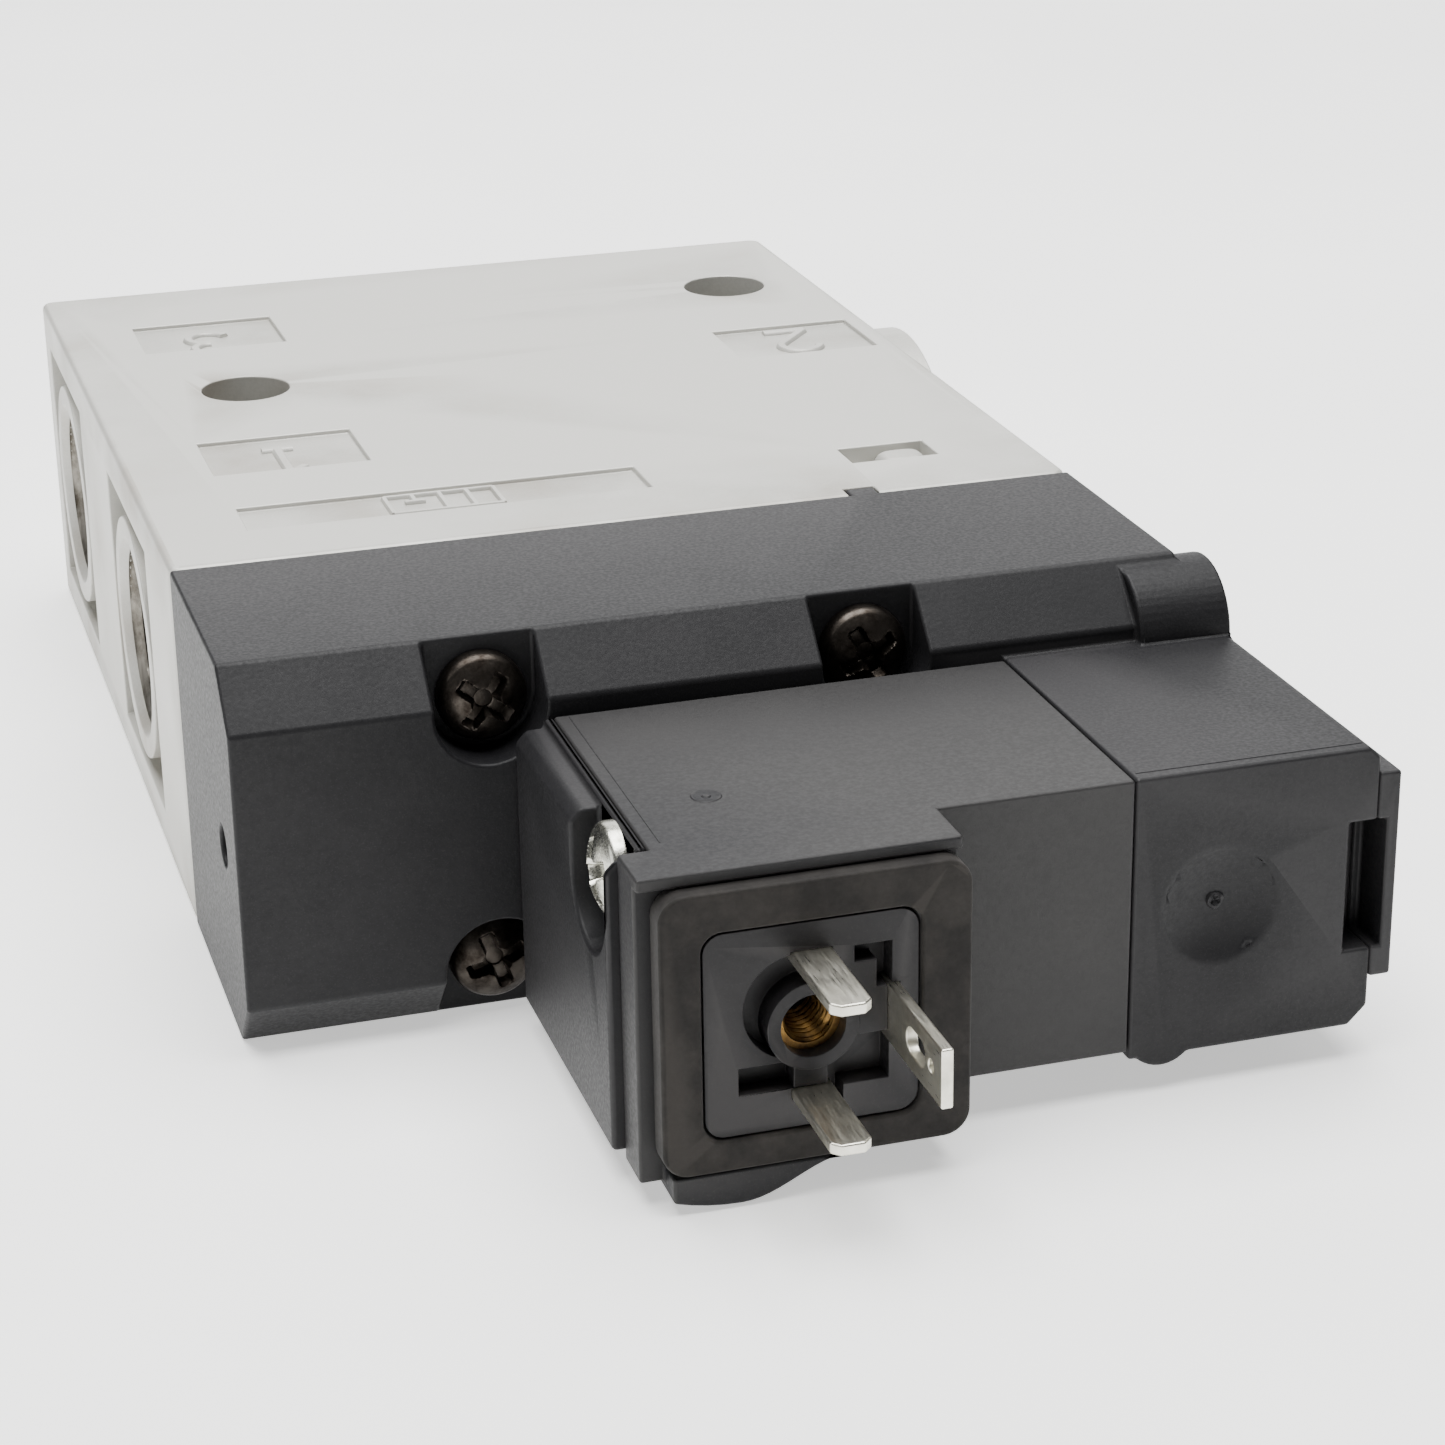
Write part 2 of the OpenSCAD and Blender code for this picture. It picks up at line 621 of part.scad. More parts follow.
module pilot_cover() {
    color([0.19, 0.19, 0.2]) difference() {
        union() {
            // Cover with a bevel along both long front edges.
            translate([left_x, seam_y, 0]) rotate([90, 0, 90]) linear_extrude(body_w)
                polygon([[0, 0], [bevel_d - cover_d, 0], [-cover_d, bevel_h],
                    [-cover_d, body_h - bevel_h], [bevel_d - cover_d, body_h],
                    [0, body_h]]);
            // Pilot block in front of the cover, to the right of the coil.
            translate([0, override_y, 0]) rotate([90, 0, 0])
                linear_extrude(override_y - pilot_y)
                polygon([[pilot_left, pilot_z0], [pilot_right - chamfer, pilot_z0],
                    [pilot_right, pilot_z0 + chamfer],
                    [pilot_right, pilot_z1 - 0.7], [pilot_right - 0.7, pilot_z1],
                    [pilot_left, pilot_z1]]);
            // Round boss of the manual override.
            translate([right_x - 4, override_y, override_z])
                rod_x(override_boss_h + 4, override_boss_d);
            // Round foot under the block, against the coil.
            translate([pilot_left + 2.2, pilot_y, pilot_z0 + 1.5]) rod_y(14, 4.4);
            // Locating tab in the body's edge.
            translate([tab_x - tab_w / 2, seam_y - 2, body_h - tab_h])
                cube([tab_w, 2 + tab_l, tab_h]);
        }
        for (x = screw_xs, z = screw_zs) {
            head_pocket(x, z);
            translate([x, seam_y - cover_d, z])
                rod_y(cover_d + 1, screw_d + 2 * screw_clear);
        }
        // Piston chamber and the two seal grooves.
        translate([spool_x, seam_y - piston_bore_depth, mid_z])
            rod_y(piston_bore_depth + 1, piston_bore_d);
        translate([spool_x, seam_y - 1.4, mid_z])
            tube_along_y(3, 2 * (cover_seal_r + cover_seal_w), 2 * cover_seal_r);
        translate([supply_x, seam_y - 1.2, supply_z]) rod_y(3, supply_d + 2.6);
        // Pilot supply: in from the seam, across, forward and up to the seat.
        translate([supply_x, cross_y, supply_z]) rod_y(seam_y - cross_y + 1, supply_d);
        translate([supply_x, cross_y, supply_z])
            rod_x(seat_drill_x - supply_x, drill_d);
        translate([seat_drill_x, axis_y, supply_z]) rod_y(cross_y - axis_y, drill_d);
        translate([seat_drill_x, axis_y, supply_z])
            cylinder(h = axis_z - supply_z, d = signal_d);
        // Signal: from the pilot chamber to the front of the piston.
        translate([signal_x, axis_y + 3, signal_z]) rod_y(cross_y - axis_y - 3, signal_d);
        translate([spool_x + 6, cross_y, signal_z]) rod_x(signal_x - spool_x - 6, signal_d);
        translate([spool_x + 6, cross_y, signal_z])
            rod_y(seam_y - piston_bore_depth - cross_y + 1, signal_d);
        translate([signal_x, override_y, signal_z])
            cylinder(h = override_z - signal_z, d = signal_d);
        // Breather of the space behind the piston, out of the left side.
        translate([left_x - 1, vent_y, vent_z]) rod_x(vent_depth + 1, vent_d);
        translate([left_x + vent_depth - 1, vent_y, vent_z])
            rod_y(vent_in_y - vent_y, drill_d);
        translate([left_x + vent_depth - 1, vent_in_y, vent_z])
            rod_x(spool_x - left_x - vent_depth, drill_d);
        // Seat of the armature tube, pilot seat and the chamber behind it.
        translate([pilot_left - 1, axis_y, axis_z]) rod_x(tube_flange_l + 2, tube_flange_d);
        translate([pilot_left, axis_y, axis_z]) rod_x(tube_flange_l + seat_l, 5);
        translate([tube_x1 + seat_l, axis_y, axis_z]) rod_x(pilot_w, chamber_end_d);
        // Thread of the retainer screw.
        translate([pilot_left - 1, plate_screw_y, plate_screw_z])
            rod_x(retainer_bite + 1, screw_d);
        // Override bore, with a small signal hole at its end.
        translate([override_x1 - override_depth, override_y, override_z])
            rod_x(override_depth + 1, override_bore_d);
        // Dimple on the front, and the window at the right end.
        translate([dimple_x, pilot_y - sqrt(pow(dimple_ball, 2) - pow(dimple_d / 2, 2)),
            axis_z]) sphere(r = dimple_ball, $fn = 96);
        span([pilot_right - window_w, pilot_y - 1, window_z[0]],
            [pilot_right + 1, pilot_y + window_depth, window_z[1]]);
    }
}

module cover_screws() {
    shank = cover_d - bevel_d + screw_bite;
    color([0.2, 0.19, 0.18]) for (x = screw_xs, z = screw_zs)
        translate([x, head_seat_y, z]) rotate([90, 0, 0]) pan_screw(shank, head_h);
}

module override_bush() {
    color([0.75, 0.62, 0.3]) translate([override_x1 - bush_l, override_y, override_z])
        tube_along_x(bush_l, override_bore_d, button_d + 2 * run_clear);
}

module override_button() {
    x0 = override_x1 - bush_l - button_flange_l;
    color([0.75, 0.62, 0.3]) translate([x0, override_y, override_z]) difference() {
        union() {
            rod_x(button_flange_l, override_bore_d - 0.2);
            rod_x(button_flange_l + bush_l - 0.2, button_d);
            translate([-2, 0, 0]) rod_x(3, 2);
        }
        // Screwdriver slot across the face.
        translate([button_flange_l + bush_l - 0.9, -3, -0.35]) cube([2, 6, 0.7]);
        // Groove for the seal.
        translate([0.4, 0, 0])
            tube_along_x(0.8, override_bore_d + 1, override_bore_d - 1.6);
    }
}

module override_seal() {
    x0 = override_x1 - bush_l - button_flange_l + 0.4;
    color([0.1, 0.1, 0.1]) translate([x0, override_y, override_z])
        tube_along_x(0.8, override_bore_d - 2 * run_clear, override_bore_d - 1.6);
}

module override_spring() {
    x0 = override_x1 - override_depth;
    len = override_depth - bush_l - button_flange_l;
    color([0.7, 0.7, 0.7]) translate([x0, override_y, override_z])
        rotate([0, 90, 0]) coil_spring(1.9, 0.25, len, 5);
}

module armature_tube() {
    color([0.7, 0.7, 0.72]) translate([tube_x0, axis_y, axis_z]) difference() {
        union() {
            rod_x(tube_x1 - tube_x0, tube_d);
            translate([pilot_left - tube_x0, 0, 0]) rod_x(tube_flange_l, tube_flange_d);
        }
        translate([-1, 0, 0]) rod_x(tube_x1 - tube_x0 + 2, tube_d - 2 * tube_wall);
        translate([pilot_left - tube_x0 + 1, 0, 0])
            tube_along_x(1.2, tube_flange_d + 1, tube_flange_d - 2);
    }
}

module tube_seal() {
    color([0.1, 0.1, 0.1]) translate([pilot_left + 1, axis_y, axis_z])
        tube_along_x(1.2, tube_flange_d, tube_flange_d - 2);
}

module fixed_core() {
    color([0.6, 0.6, 0.62]) translate([tube_x0, axis_y, axis_z])
        tube_along_x(core_x1 - tube_x0, tube_d - 2 * tube_wall, signal_d);
}

module armature() {
    d = tube_d - 2 * tube_wall - 2 * run_clear;
    color([0.6, 0.6, 0.62]) translate([armature_x0, axis_y, axis_z]) difference() {
        rod_x(armature_l, d);
        translate([-1, 0, 0]) rod_x(armature_pocket + 1, 3.4);
        translate([armature_l - 0.8, 0, 0]) rod_x(2, 3.2);
        // Two flats along the armature let the air past.
        for (s = [-1, 1]) translate([armature_l / 2, 0, s * (d / 2 + 0.3)])
            cube([armature_l + 2, d, 1.2], center = true);
    }
}

module armature_seal() {
    color([0.1, 0.1, 0.1]) translate([armature_x1 - 0.8, axis_y, axis_z]) rod_x(1.1, 3.2);
}

module armature_spring() {
    color([0.7, 0.7, 0.7]) translate([core_x1, axis_y, axis_z]) rotate([0, 90, 0])
        coil_spring(1.25, 0.2, armature_x0 - core_x1 + armature_pocket, 7);
}

module pilot_seat() {
    color([0.75, 0.62, 0.3]) translate([0, axis_y, axis_z]) difference() {
        union() {
            translate([tube_x1, 0, 0]) rod_x(seat_l, 5);
            translate([seat_x, 0, 0]) rod_x(tube_x1 - seat_x + 1, 2);
        }
        translate([seat_x - 1, 0, 0]) rod_x(3, 0.8);
        translate([seat_x + 1.5, 0, 0])
            rod_x(seat_drill_x + signal_d / 2 - seat_x - 1.5, signal_d);
        translate([seat_drill_x, 0, -4]) cylinder(h = 4, d = signal_d);
        // Way round the seat, from the armature to the pilot chamber.
        translate([tube_x1 - 1, 1.75, 0]) rod_x(seat_l + 2, 0.8);
    }
}

module coil_bobbin() {
    x0 = yoke_x0 + yoke_t;
    l = yoke_x1 - yoke_x0 - 2 * yoke_t;
    color([0.25, 0.25, 0.28]) translate([x0, axis_y, axis_z]) difference() {
        union() {
            rod_x(l, bobbin_d);
            rod_x(flange_t, flange_d);
            translate([l - flange_t, 0, 0]) rod_x(flange_t, flange_d);
        }
        translate([-1, 0, 0]) rod_x(l + 2, tube_hole_d);
    }
}

module coil_winding() {
    l = yoke_x1 - yoke_x0 - 2 * yoke_t - 2 * flange_t;
    color([0.72, 0.42, 0.2])
        translate([yoke_x0 + yoke_t + flange_t, axis_y, axis_z])
            tube_along_x(l, winding_d, bobbin_d);
}

// The yoke's U: two end plates joined along the coil's rear side.
module yoke_shape() {
    difference() {
        span([yoke_x0, yoke_y0, yoke_z0], [yoke_x1, yoke_y1, yoke_z1]);
        span([yoke_x0 + yoke_t, yoke_y0 - 1, yoke_z0 - 1],
            [yoke_x1 - yoke_t, yoke_y1 - yoke_back, yoke_z1 + 1]);
        // Corner left free for the retainer screw.
        span([yoke_x0 - 1, yoke_y0 - 1, plate_screw_z - 1.9],
            [yoke_x1 + 1, plate_screw_y + 1.9, yoke_z1 + 1]);
    }
}

module coil_yoke() {
    color([0.5, 0.5, 0.52]) difference() {
        yoke_shape();
        translate([yoke_x0 - 1, axis_y, axis_z])
            rod_x(yoke_x1 - yoke_x0 + 2, tube_hole_d);
    }
}

// The corners of the connector base, grown by a clearance.
module base_block(grow, y0, y1) {
    translate([plug_px, 0, plug_z])
        upright(platform_w + 2 * grow, platform_h + 2 * grow, 1.2, y0, y1);
}

// Outline of the lobe in X and Z, closed by a flat top at z_top: a shallow
// arc below, then half a cosine wave up to the right.
function foot_outline(z_top) = let (low = block_z0 - foot_drop) concat(
    [[foot_x0, z_top]],
    [for (i = [0:4]) let (x = foot_x0 + (foot_low_x - foot_x0) * i / 4)
        [x, low + pow(x - foot_low_x, 2) / (2 * foot_r)]],
    [for (i = [1:foot_steps]) let (t = i / foot_steps)
        [foot_low_x + foot_run * t, low + foot_rise * (1 - cos(180 * t)) / 2]],
    [[foot_low_x + foot_run, z_top]]);

module coil_housing() {
    color([0.27, 0.27, 0.28]) difference() {
        union() {
            span([coil_left + eps, coil_y1, coil_z0], [coil_right, coil_back, pilot_z1]);
            // Connector block with its brim over the gasket; beside the plate
            // it ends in front of it.
            span([block_x0, block_y, block_z0], [block_x1, block_rear, pilot_z1]);
            span([coil_left + eps, block_y, block_z0], [block_x1, coil_y1 + 2, pilot_z1]);
            span([block_x0, block_y - brim_reach, brim_z0],
                [block_x1, block_y + 1, pilot_z1]);
            // Lobe under the connector block and the gasket.
            translate([0, block_rear, 0]) rotate([90, 0, 0])
                linear_extrude(block_rear - gasket_y - 0.1)
                polygon(foot_outline(gasket_z - gasket_h / 2 - 0.05));
        }
        // Cavity filled by the yoke, bobbin and winding.
        yoke_shape();
        translate([yoke_x0 + yoke_t, axis_y, axis_z])
            rod_x(yoke_x1 - yoke_x0 - 2 * yoke_t, flange_d);
        translate([coil_left - 1, axis_y, axis_z])
            rod_x(coil_right - coil_left + 2, tube_hole_d);
        translate([coil_left - 1, plate_screw_y, plate_screw_z])
            rod_x(coil_right - coil_left + 2, screw_d + 2 * screw_clear);
        base_block(0, block_y - 2, base_back);
    }
}

module coil_retainer() {
    color([0.2, 0.2, 0.21]) difference() {
        union() {
            span([plate_x0, plate_y0, plate_z0], [plate_x1, plate_y1, plate_z1]);
            span([plate_x1, coil_y1, coil_z0], [coil_left, coil_back, pilot_z1]);
        }
        // Recess round the screw head, open at the top.
        translate([plate_x0 - 1, plate_screw_y, plate_screw_z - 0.9]) {
            rod_x(plate_t + 1, plate_recess_d);
            translate([0, -plate_recess_d / 2, 0])
                cube([plate_t + 1, plate_recess_d, body_h]);
        }
        translate([plate_x0 - 1, plate_screw_y, plate_screw_z])
            rod_x(plate_t + 3, screw_d + 2 * screw_clear);
        // Long upper edge taken off as a bevel.
        translate([plate_x0, plate_y0 - 1, plate_z1 - 0.7]) rotate([0, -45, 0])
            cube([2, plate_y1 - plate_y0 + 2, 2]);
    }
}

module retainer_screw() {
    shank = pilot_left + retainer_bite - plate_x1 - 0.2;
    color([0.8, 0.8, 0.8]) translate([plate_x1, plate_screw_y, plate_screw_z])
        rotate([0, -90, 0]) pan_screw(shank, retainer_head_h);
}

module connector_base() {
    color([0.13, 0.13, 0.14]) difference() {
        union() {
            base_block(-0.02, platform_y, base_back - 0.02);
            translate([plug_px, gasket_y - 0.1, plug_z]) rod_y(3, pin_boss_d);
        }
        // Round well behind the boss.
        difference() {
            translate([plug_px + well_off[0], platform_y - 1, plug_z + well_off[1]])
                rod_y(well_depth + 1, well_d);
            translate([plug_px, gasket_y - 1, plug_z]) rod_y(5, pin_boss_d);
        }
        // Seat of the brass insert, and the mouth of the boss.
        translate([plug_px, gasket_y - 1, plug_z])
            rod_y(base_back - gasket_y + 1, insert_d);
        // Slots of the three blades.
        contact_blade(plug_z + contact_pitch / 2, blade_root);
        contact_blade(plug_z - contact_pitch / 2, blade_root);
        ground_blade(blade_root);
        // Coding slots round the boss.
        difference() {
            for (s = coding_slots)
                translate([plug_px + s[0], platform_y - 1, plug_z + s[1]])
                    cube([s[2], well_depth + 1, s[3]]);
            translate([plug_px, gasket_y - 1, plug_z]) rod_y(5, pin_boss_d);
        }
    }
}

module terminal_insert() {
    color([0.75, 0.6, 0.3]) translate([plug_px, insert_y, plug_z])
        tube_along_y(insert_l, insert_d, insert_thread_d);
}

// A flat contact blade along Y, chamfered at its tip.
module contact_blade(z, root) {
    tip = seam_y - blade_tip;
    corner = 0.5;
    translate([plug_px, 0, z - blade_t / 2]) linear_extrude(blade_t)
        polygon([[-blade_w / 2, root], [blade_w / 2, root],
            [blade_w / 2, tip + corner], [blade_w / 2 - corner, tip],
            [corner - blade_w / 2, tip], [-blade_w / 2, tip + corner]]);
}

module contact_upper() {
    color([0.85, 0.84, 0.8]) contact_blade(plug_z + contact_pitch / 2, blade_root);
}

module contact_lower() {
    color([0.85, 0.84, 0.8]) contact_blade(plug_z - contact_pitch / 2, blade_root);
}

// The upright ground blade with its long hole and its small hole.
module ground_blade(root) {
    tip = seam_y - ground_tip;
    x = plug_px + ground_off - blade_t / 2;
    z = plug_z;
    difference() {
        span([x, tip, z - ground_w / 2], [x + blade_t, root, z + ground_w / 2]);
        for (y = [3.4, 4.8]) translate([x - 1, tip + y, z]) rod_x(3, 1.6);
        span([x - 1, tip + 3.4, z - 0.8], [x + 2, tip + 4.8, z + 0.8]);
        translate([x - 1, tip + 1.7, z]) rod_x(3, 0.8);
    }
}

module ground_contact() {
    color([0.85, 0.84, 0.8]) ground_blade(blade_root);
}

module connector_gasket() {
    color([0.16, 0.16, 0.17]) difference() {
        translate([gasket_x, 0, gasket_z])
            upright(gasket_w, gasket_h, 1.6, gasket_y, block_y);
        base_block(0.1, gasket_y - 1, block_y + 1);
    }
}

module pilot_end_cap() {
    z0 = cap_z[0];
    z1 = cap_z[1];
    color([0.18, 0.18, 0.19]) difference() {
        union() {
            span([pilot_right, pilot_y, z0], [pilot_right + cap_t, coil_back + coil_gap, z1]);
            translate([pilot_right - cap_spigot_l, axis_y, axis_z])
                rod_x(cap_spigot_l + 1, chamber_end_d);
        }
        span([pilot_right - 1, pilot_y - 1, window_z[0]],
            [pilot_right + cap_t - cap_leg, pilot_y + window_depth, window_z[1]]);
        translate([pilot_right - 2.8, axis_y, axis_z])
            tube_along_x(1.4, chamber_end_d + 2, chamber_end_d - 2.4);
    }
}

module end_cap_seal() {
    color([0.1, 0.1, 0.1]) translate([pilot_right - 2.8, axis_y, axis_z])
        tube_along_x(1.4, chamber_end_d, chamber_end_d - 2.4);
}

valve_body();
spool_sleeve();
sleeve_seals();
spool();
spool_seals();
return_spring();
pilot_piston();
piston_seal();
cover_seal();
passage_seal();
pilot_cover();
cover_screws();
override_bush();
override_button();
override_seal();
override_spring();
armature_tube();
tube_seal();
fixed_core();
armature();
armature_seal();
armature_spring();
pilot_seat();
coil_bobbin();
coil_winding();
coil_yoke();
coil_housing();
coil_retainer();
retainer_screw();
connector_base();
terminal_insert();
contact_upper();
contact_lower();
ground_contact();
connector_gasket();
pilot_end_cap();
end_cap_seal();
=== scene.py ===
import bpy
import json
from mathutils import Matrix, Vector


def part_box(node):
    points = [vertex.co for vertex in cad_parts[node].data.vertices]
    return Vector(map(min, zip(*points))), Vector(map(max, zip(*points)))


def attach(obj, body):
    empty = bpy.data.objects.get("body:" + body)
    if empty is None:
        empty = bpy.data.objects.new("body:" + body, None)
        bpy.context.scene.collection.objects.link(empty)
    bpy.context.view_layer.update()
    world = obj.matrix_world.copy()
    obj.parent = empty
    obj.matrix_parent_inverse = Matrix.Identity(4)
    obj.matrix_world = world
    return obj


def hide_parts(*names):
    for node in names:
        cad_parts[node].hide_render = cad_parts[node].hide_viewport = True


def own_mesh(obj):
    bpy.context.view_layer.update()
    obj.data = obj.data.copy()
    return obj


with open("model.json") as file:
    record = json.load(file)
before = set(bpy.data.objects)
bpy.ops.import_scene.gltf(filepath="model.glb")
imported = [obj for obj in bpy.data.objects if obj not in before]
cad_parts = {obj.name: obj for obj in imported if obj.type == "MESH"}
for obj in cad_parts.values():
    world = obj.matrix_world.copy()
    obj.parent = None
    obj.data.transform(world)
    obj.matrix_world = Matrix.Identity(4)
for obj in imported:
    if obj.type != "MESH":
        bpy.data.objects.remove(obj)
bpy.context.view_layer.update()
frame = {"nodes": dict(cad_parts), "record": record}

# A pilot-operated pneumatic solenoid valve, lying flat on a pale table.
# Lengths below are in millimetres and turned to metres by MM where a mesh or
# a material is made. +X to the right, +Y to the rear, +Z up.

import json
import math

import bmesh
import bpy
import numpy as np
from mathutils import Matrix, Vector

MM = 0.001
record = frame["record"]
mounts = {mount["name"]: mount for mount in record["mounts"]}
body_of = {node: body for body, nodes in record["behaviour"]["bodies"].items()
           for node in nodes}
slot_of = {part["node"]: part["material_slot"] for part in record["subparts"]}


def box_mm(node):
    """A CAD node's lowest and highest corner in millimetres."""
    return [np.array(corner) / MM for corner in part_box(node)]


# ---------------------------------------------------------------- camera

CAMERA_PLACE = (-56.67, -244.5, 97.02)
CAMERA_AZIMUTH, CAMERA_ELEVATION, CAMERA_ROLL = 16.66, 21.83, -0.93  # degrees
CAMERA_LENS, CAMERA_SENSOR = 85.3, 36.0


def make_camera():
    """Looks forward along azimuth and elevation, then rolls about that line."""
    azimuth, elevation, roll = (math.radians(angle) for angle in
                                (CAMERA_AZIMUTH, CAMERA_ELEVATION, CAMERA_ROLL))
    forward = np.array([math.sin(azimuth) * math.cos(elevation),
                        math.cos(azimuth) * math.cos(elevation), -math.sin(elevation)])
    right = np.array([math.cos(azimuth), -math.sin(azimuth), 0.0])
    down = np.cross(forward, right)
    cos, sin = math.cos(roll), math.sin(roll)
    rolled_right = cos * right - sin * down
    rolled_down = sin * right + cos * down
    matrix = Matrix.Identity(4)
    for column, axis in enumerate((rolled_right, -rolled_down, -forward)):
        for row in range(3):
            matrix[row][column] = axis[row]
    for row in range(3):
        matrix[row][3] = CAMERA_PLACE[row] * MM
    data = bpy.data.cameras.new("camera")
    data.lens, data.sensor_width = CAMERA_LENS, CAMERA_SENSOR
    data.clip_start, data.clip_end = 0.01, 10.0
    camera = bpy.data.objects.new("camera", data)
    bpy.context.scene.collection.objects.link(camera)
    camera.matrix_world = matrix
    bpy.context.scene.camera = camera


make_camera()


# ---------------------------------------------------------------- materials

def linear(code, alpha=1.0):
    """An sRGB hex colour as linear red, green, blue and alpha."""
    parts = [int(code[i:i + 2], 16) / 255 for i in (1, 3, 5)]
    return [p / 12.92 if p <= 0.04045 else ((p + 0.055) / 1.055) ** 2.4
            for p in parts] + [alpha]


def per_metre(size_mm):
    """Pattern scale whose features are size_mm wide, for coordinates in metres."""
    return 1 / (size_mm * MM)


def add(tree, kind, values=None, links=None, **settings):
    """Adds a node, sets its attributes and input values, and links its inputs."""
    node = tree.nodes.new(kind)
    for name, value in settings.items():
        setattr(node, name, value)
    for name, value in (values or {}).items():
        node.inputs[name].default_value = value
    for name, source in (links or {}).items():
        tree.links.new(source, node.inputs[name])
    return node


def shade(name, values):
    """A material with one Principled shader; returns it, its tree and the shader."""
    material = bpy.data.materials.new(name)
    material.use_nodes = True
    tree = material.node_tree
    shader = tree.nodes["Principled BSDF"]
    for key, value in values.items():
        shader.inputs[key].default_value = value
    return material, tree, shader


def stops(node, *pairs):
    """Sets a colour ramp's stops: pairs of a place and a grey or a hex colour."""
    ramp = node.color_ramp
    while len(ramp.elements) < len(pairs):
        ramp.elements.new(0.5)
    for element, (place, tone) in zip(ramp.elements, pairs):
        element.position = place
        element.color = linear(tone) if isinstance(tone, str) else (tone,) * 3 + (1,)
    return node


def grain(tree, shader, size_mm, height_mm, strength):
    """Fine surface relief: noise with grains size_mm wide and height_mm high. Returns
    the coordinates and the noise, for patterns that go with it."""
    place = add(tree, "ShaderNodeTexCoord").outputs["Object"]
    noise = add(tree, "ShaderNodeTexNoise", {"Scale": per_metre(size_mm), "Detail": 3.0,
                "Roughness": 0.6}, {"Vector": place})
    bump = add(tree, "ShaderNodeBump", {"Strength": strength, "Distance": height_mm * MM},
               {"Height": noise.outputs["Fac"]})
    tree.links.new(bump.outputs["Normal"], shader.inputs["Normal"])
    return place, noise


def cast_aluminium(name, tone, pale, dark):
    """Pressure die-cast aluminium, blasted and lacquered. It gives the eye a pale,
    almost matt metal with a fine even grain, faint flow clouds and brighter edges."""
    material, tree, shader = shade(name, {"Metallic": 0.35, "Roughness": 0.5})
    place, noise = grain(tree, shader, 0.22, 0.012, 0.55)
    cloud = add(tree, "ShaderNodeTexNoise", {"Scale": per_metre(9), "Detail": 4.0},
                {"Vector": place})
    tones = stops(add(tree, "ShaderNodeValToRGB", links={"Fac": cloud.outputs["Fac"]}),
                  (0.3, dark), (0.5, tone), (0.72, pale))
    speck = stops(add(tree, "ShaderNodeValToRGB", links={"Fac": noise.outputs["Fac"]}),
                  (0.3, 0.86), (0.6, 1.0))
    mixed = add(tree, "ShaderNodeMix", {"Factor": 0.6},
                {"A": tones.outputs["Color"], "B": speck.outputs["Color"]},
                data_type="RGBA", blend_type="MULTIPLY")
    wear = stops(add(tree, "ShaderNodeValToRGB",
                     links={"Fac": add(tree, "ShaderNodeNewGeometry").outputs["Pointiness"]}),
                 (0.52, 0.0), (0.62, 1.0))
    worn = add(tree, "ShaderNodeMix", {"B": linear(pale)},
               {"Factor": wear.outputs["Color"], "A": mixed.outputs["Result"]},
               data_type="RGBA")
    tree.links.new(worn.outputs["Result"], shader.inputs["Base Color"])
    rough = stops(add(tree, "ShaderNodeValToRGB", links={"Fac": cloud.outputs["Fac"]}),
                  (0.3, 0.56), (0.7, 0.44))
    tree.links.new(rough.outputs["Color"], shader.inputs["Roughness"])
    return material


def moulded_plastic(name, tone, worn, roughness, grain_mm, grain_high, fleck=0.25):
    """Injection-moulded plastic out of a spark-eroded mould. It gives the eye a dark
    satin face with a fine pebble grain, paler specks of glass fibre and edges rubbed
    a little lighter. The grain is drawn coarser than the real 0.05 mm so it shows."""
    material, tree, shader = shade(name, {"IOR": 1.5, "Specular IOR Level": 0.22})
    place, noise = grain(tree, shader, grain_mm, grain_high, 0.7)
    cloud = add(tree, "ShaderNodeTexNoise", {"Scale": per_metre(6), "Detail": 5.0},
                {"Vector": place})
    base = stops(add(tree, "ShaderNodeValToRGB", links={"Fac": cloud.outputs["Fac"]}),
                 (0.3, tone), (0.75, worn))
    base_mix = add(tree, "ShaderNodeMix", {"Factor": 0.22, "A": linear(tone)},
                   {"B": base.outputs["Color"]}, data_type="RGBA")
    fibre = add(tree, "ShaderNodeTexNoise", {"Scale": per_metre(0.11), "Detail": 2.0},
                {"Vector": place})
    fibre_mask = stops(add(tree, "ShaderNodeValToRGB",
                           links={"Fac": fibre.outputs["Fac"]}),
                       (0.56, 0.0), (0.74, fleck))
    flecked = add(tree, "ShaderNodeMix", {"B": linear(worn)},
                  {"Factor": fibre_mask.outputs["Color"],
                   "A": base_mix.outputs["Result"]}, data_type="RGBA")
    wear = stops(add(tree, "ShaderNodeValToRGB",
                     links={"Fac": add(tree, "ShaderNodeNewGeometry").outputs["Pointiness"]}),
                 (0.53, 0.0), (0.64, 0.55))
    rubbed = add(tree, "ShaderNodeMix", {"B": linear(worn)},
                 {"Factor": wear.outputs["Color"], "A": flecked.outputs["Result"]},
                 data_type="RGBA")
    tree.links.new(rubbed.outputs["Result"], shader.inputs["Base Color"])
    rough = stops(add(tree, "ShaderNodeValToRGB", links={"Fac": noise.outputs["Fac"]}),
                  (0.35, roughness - 0.07), (0.65, roughness + 0.07))
    tree.links.new(rough.outputs["Color"], shader.inputs["Roughness"])
    return material


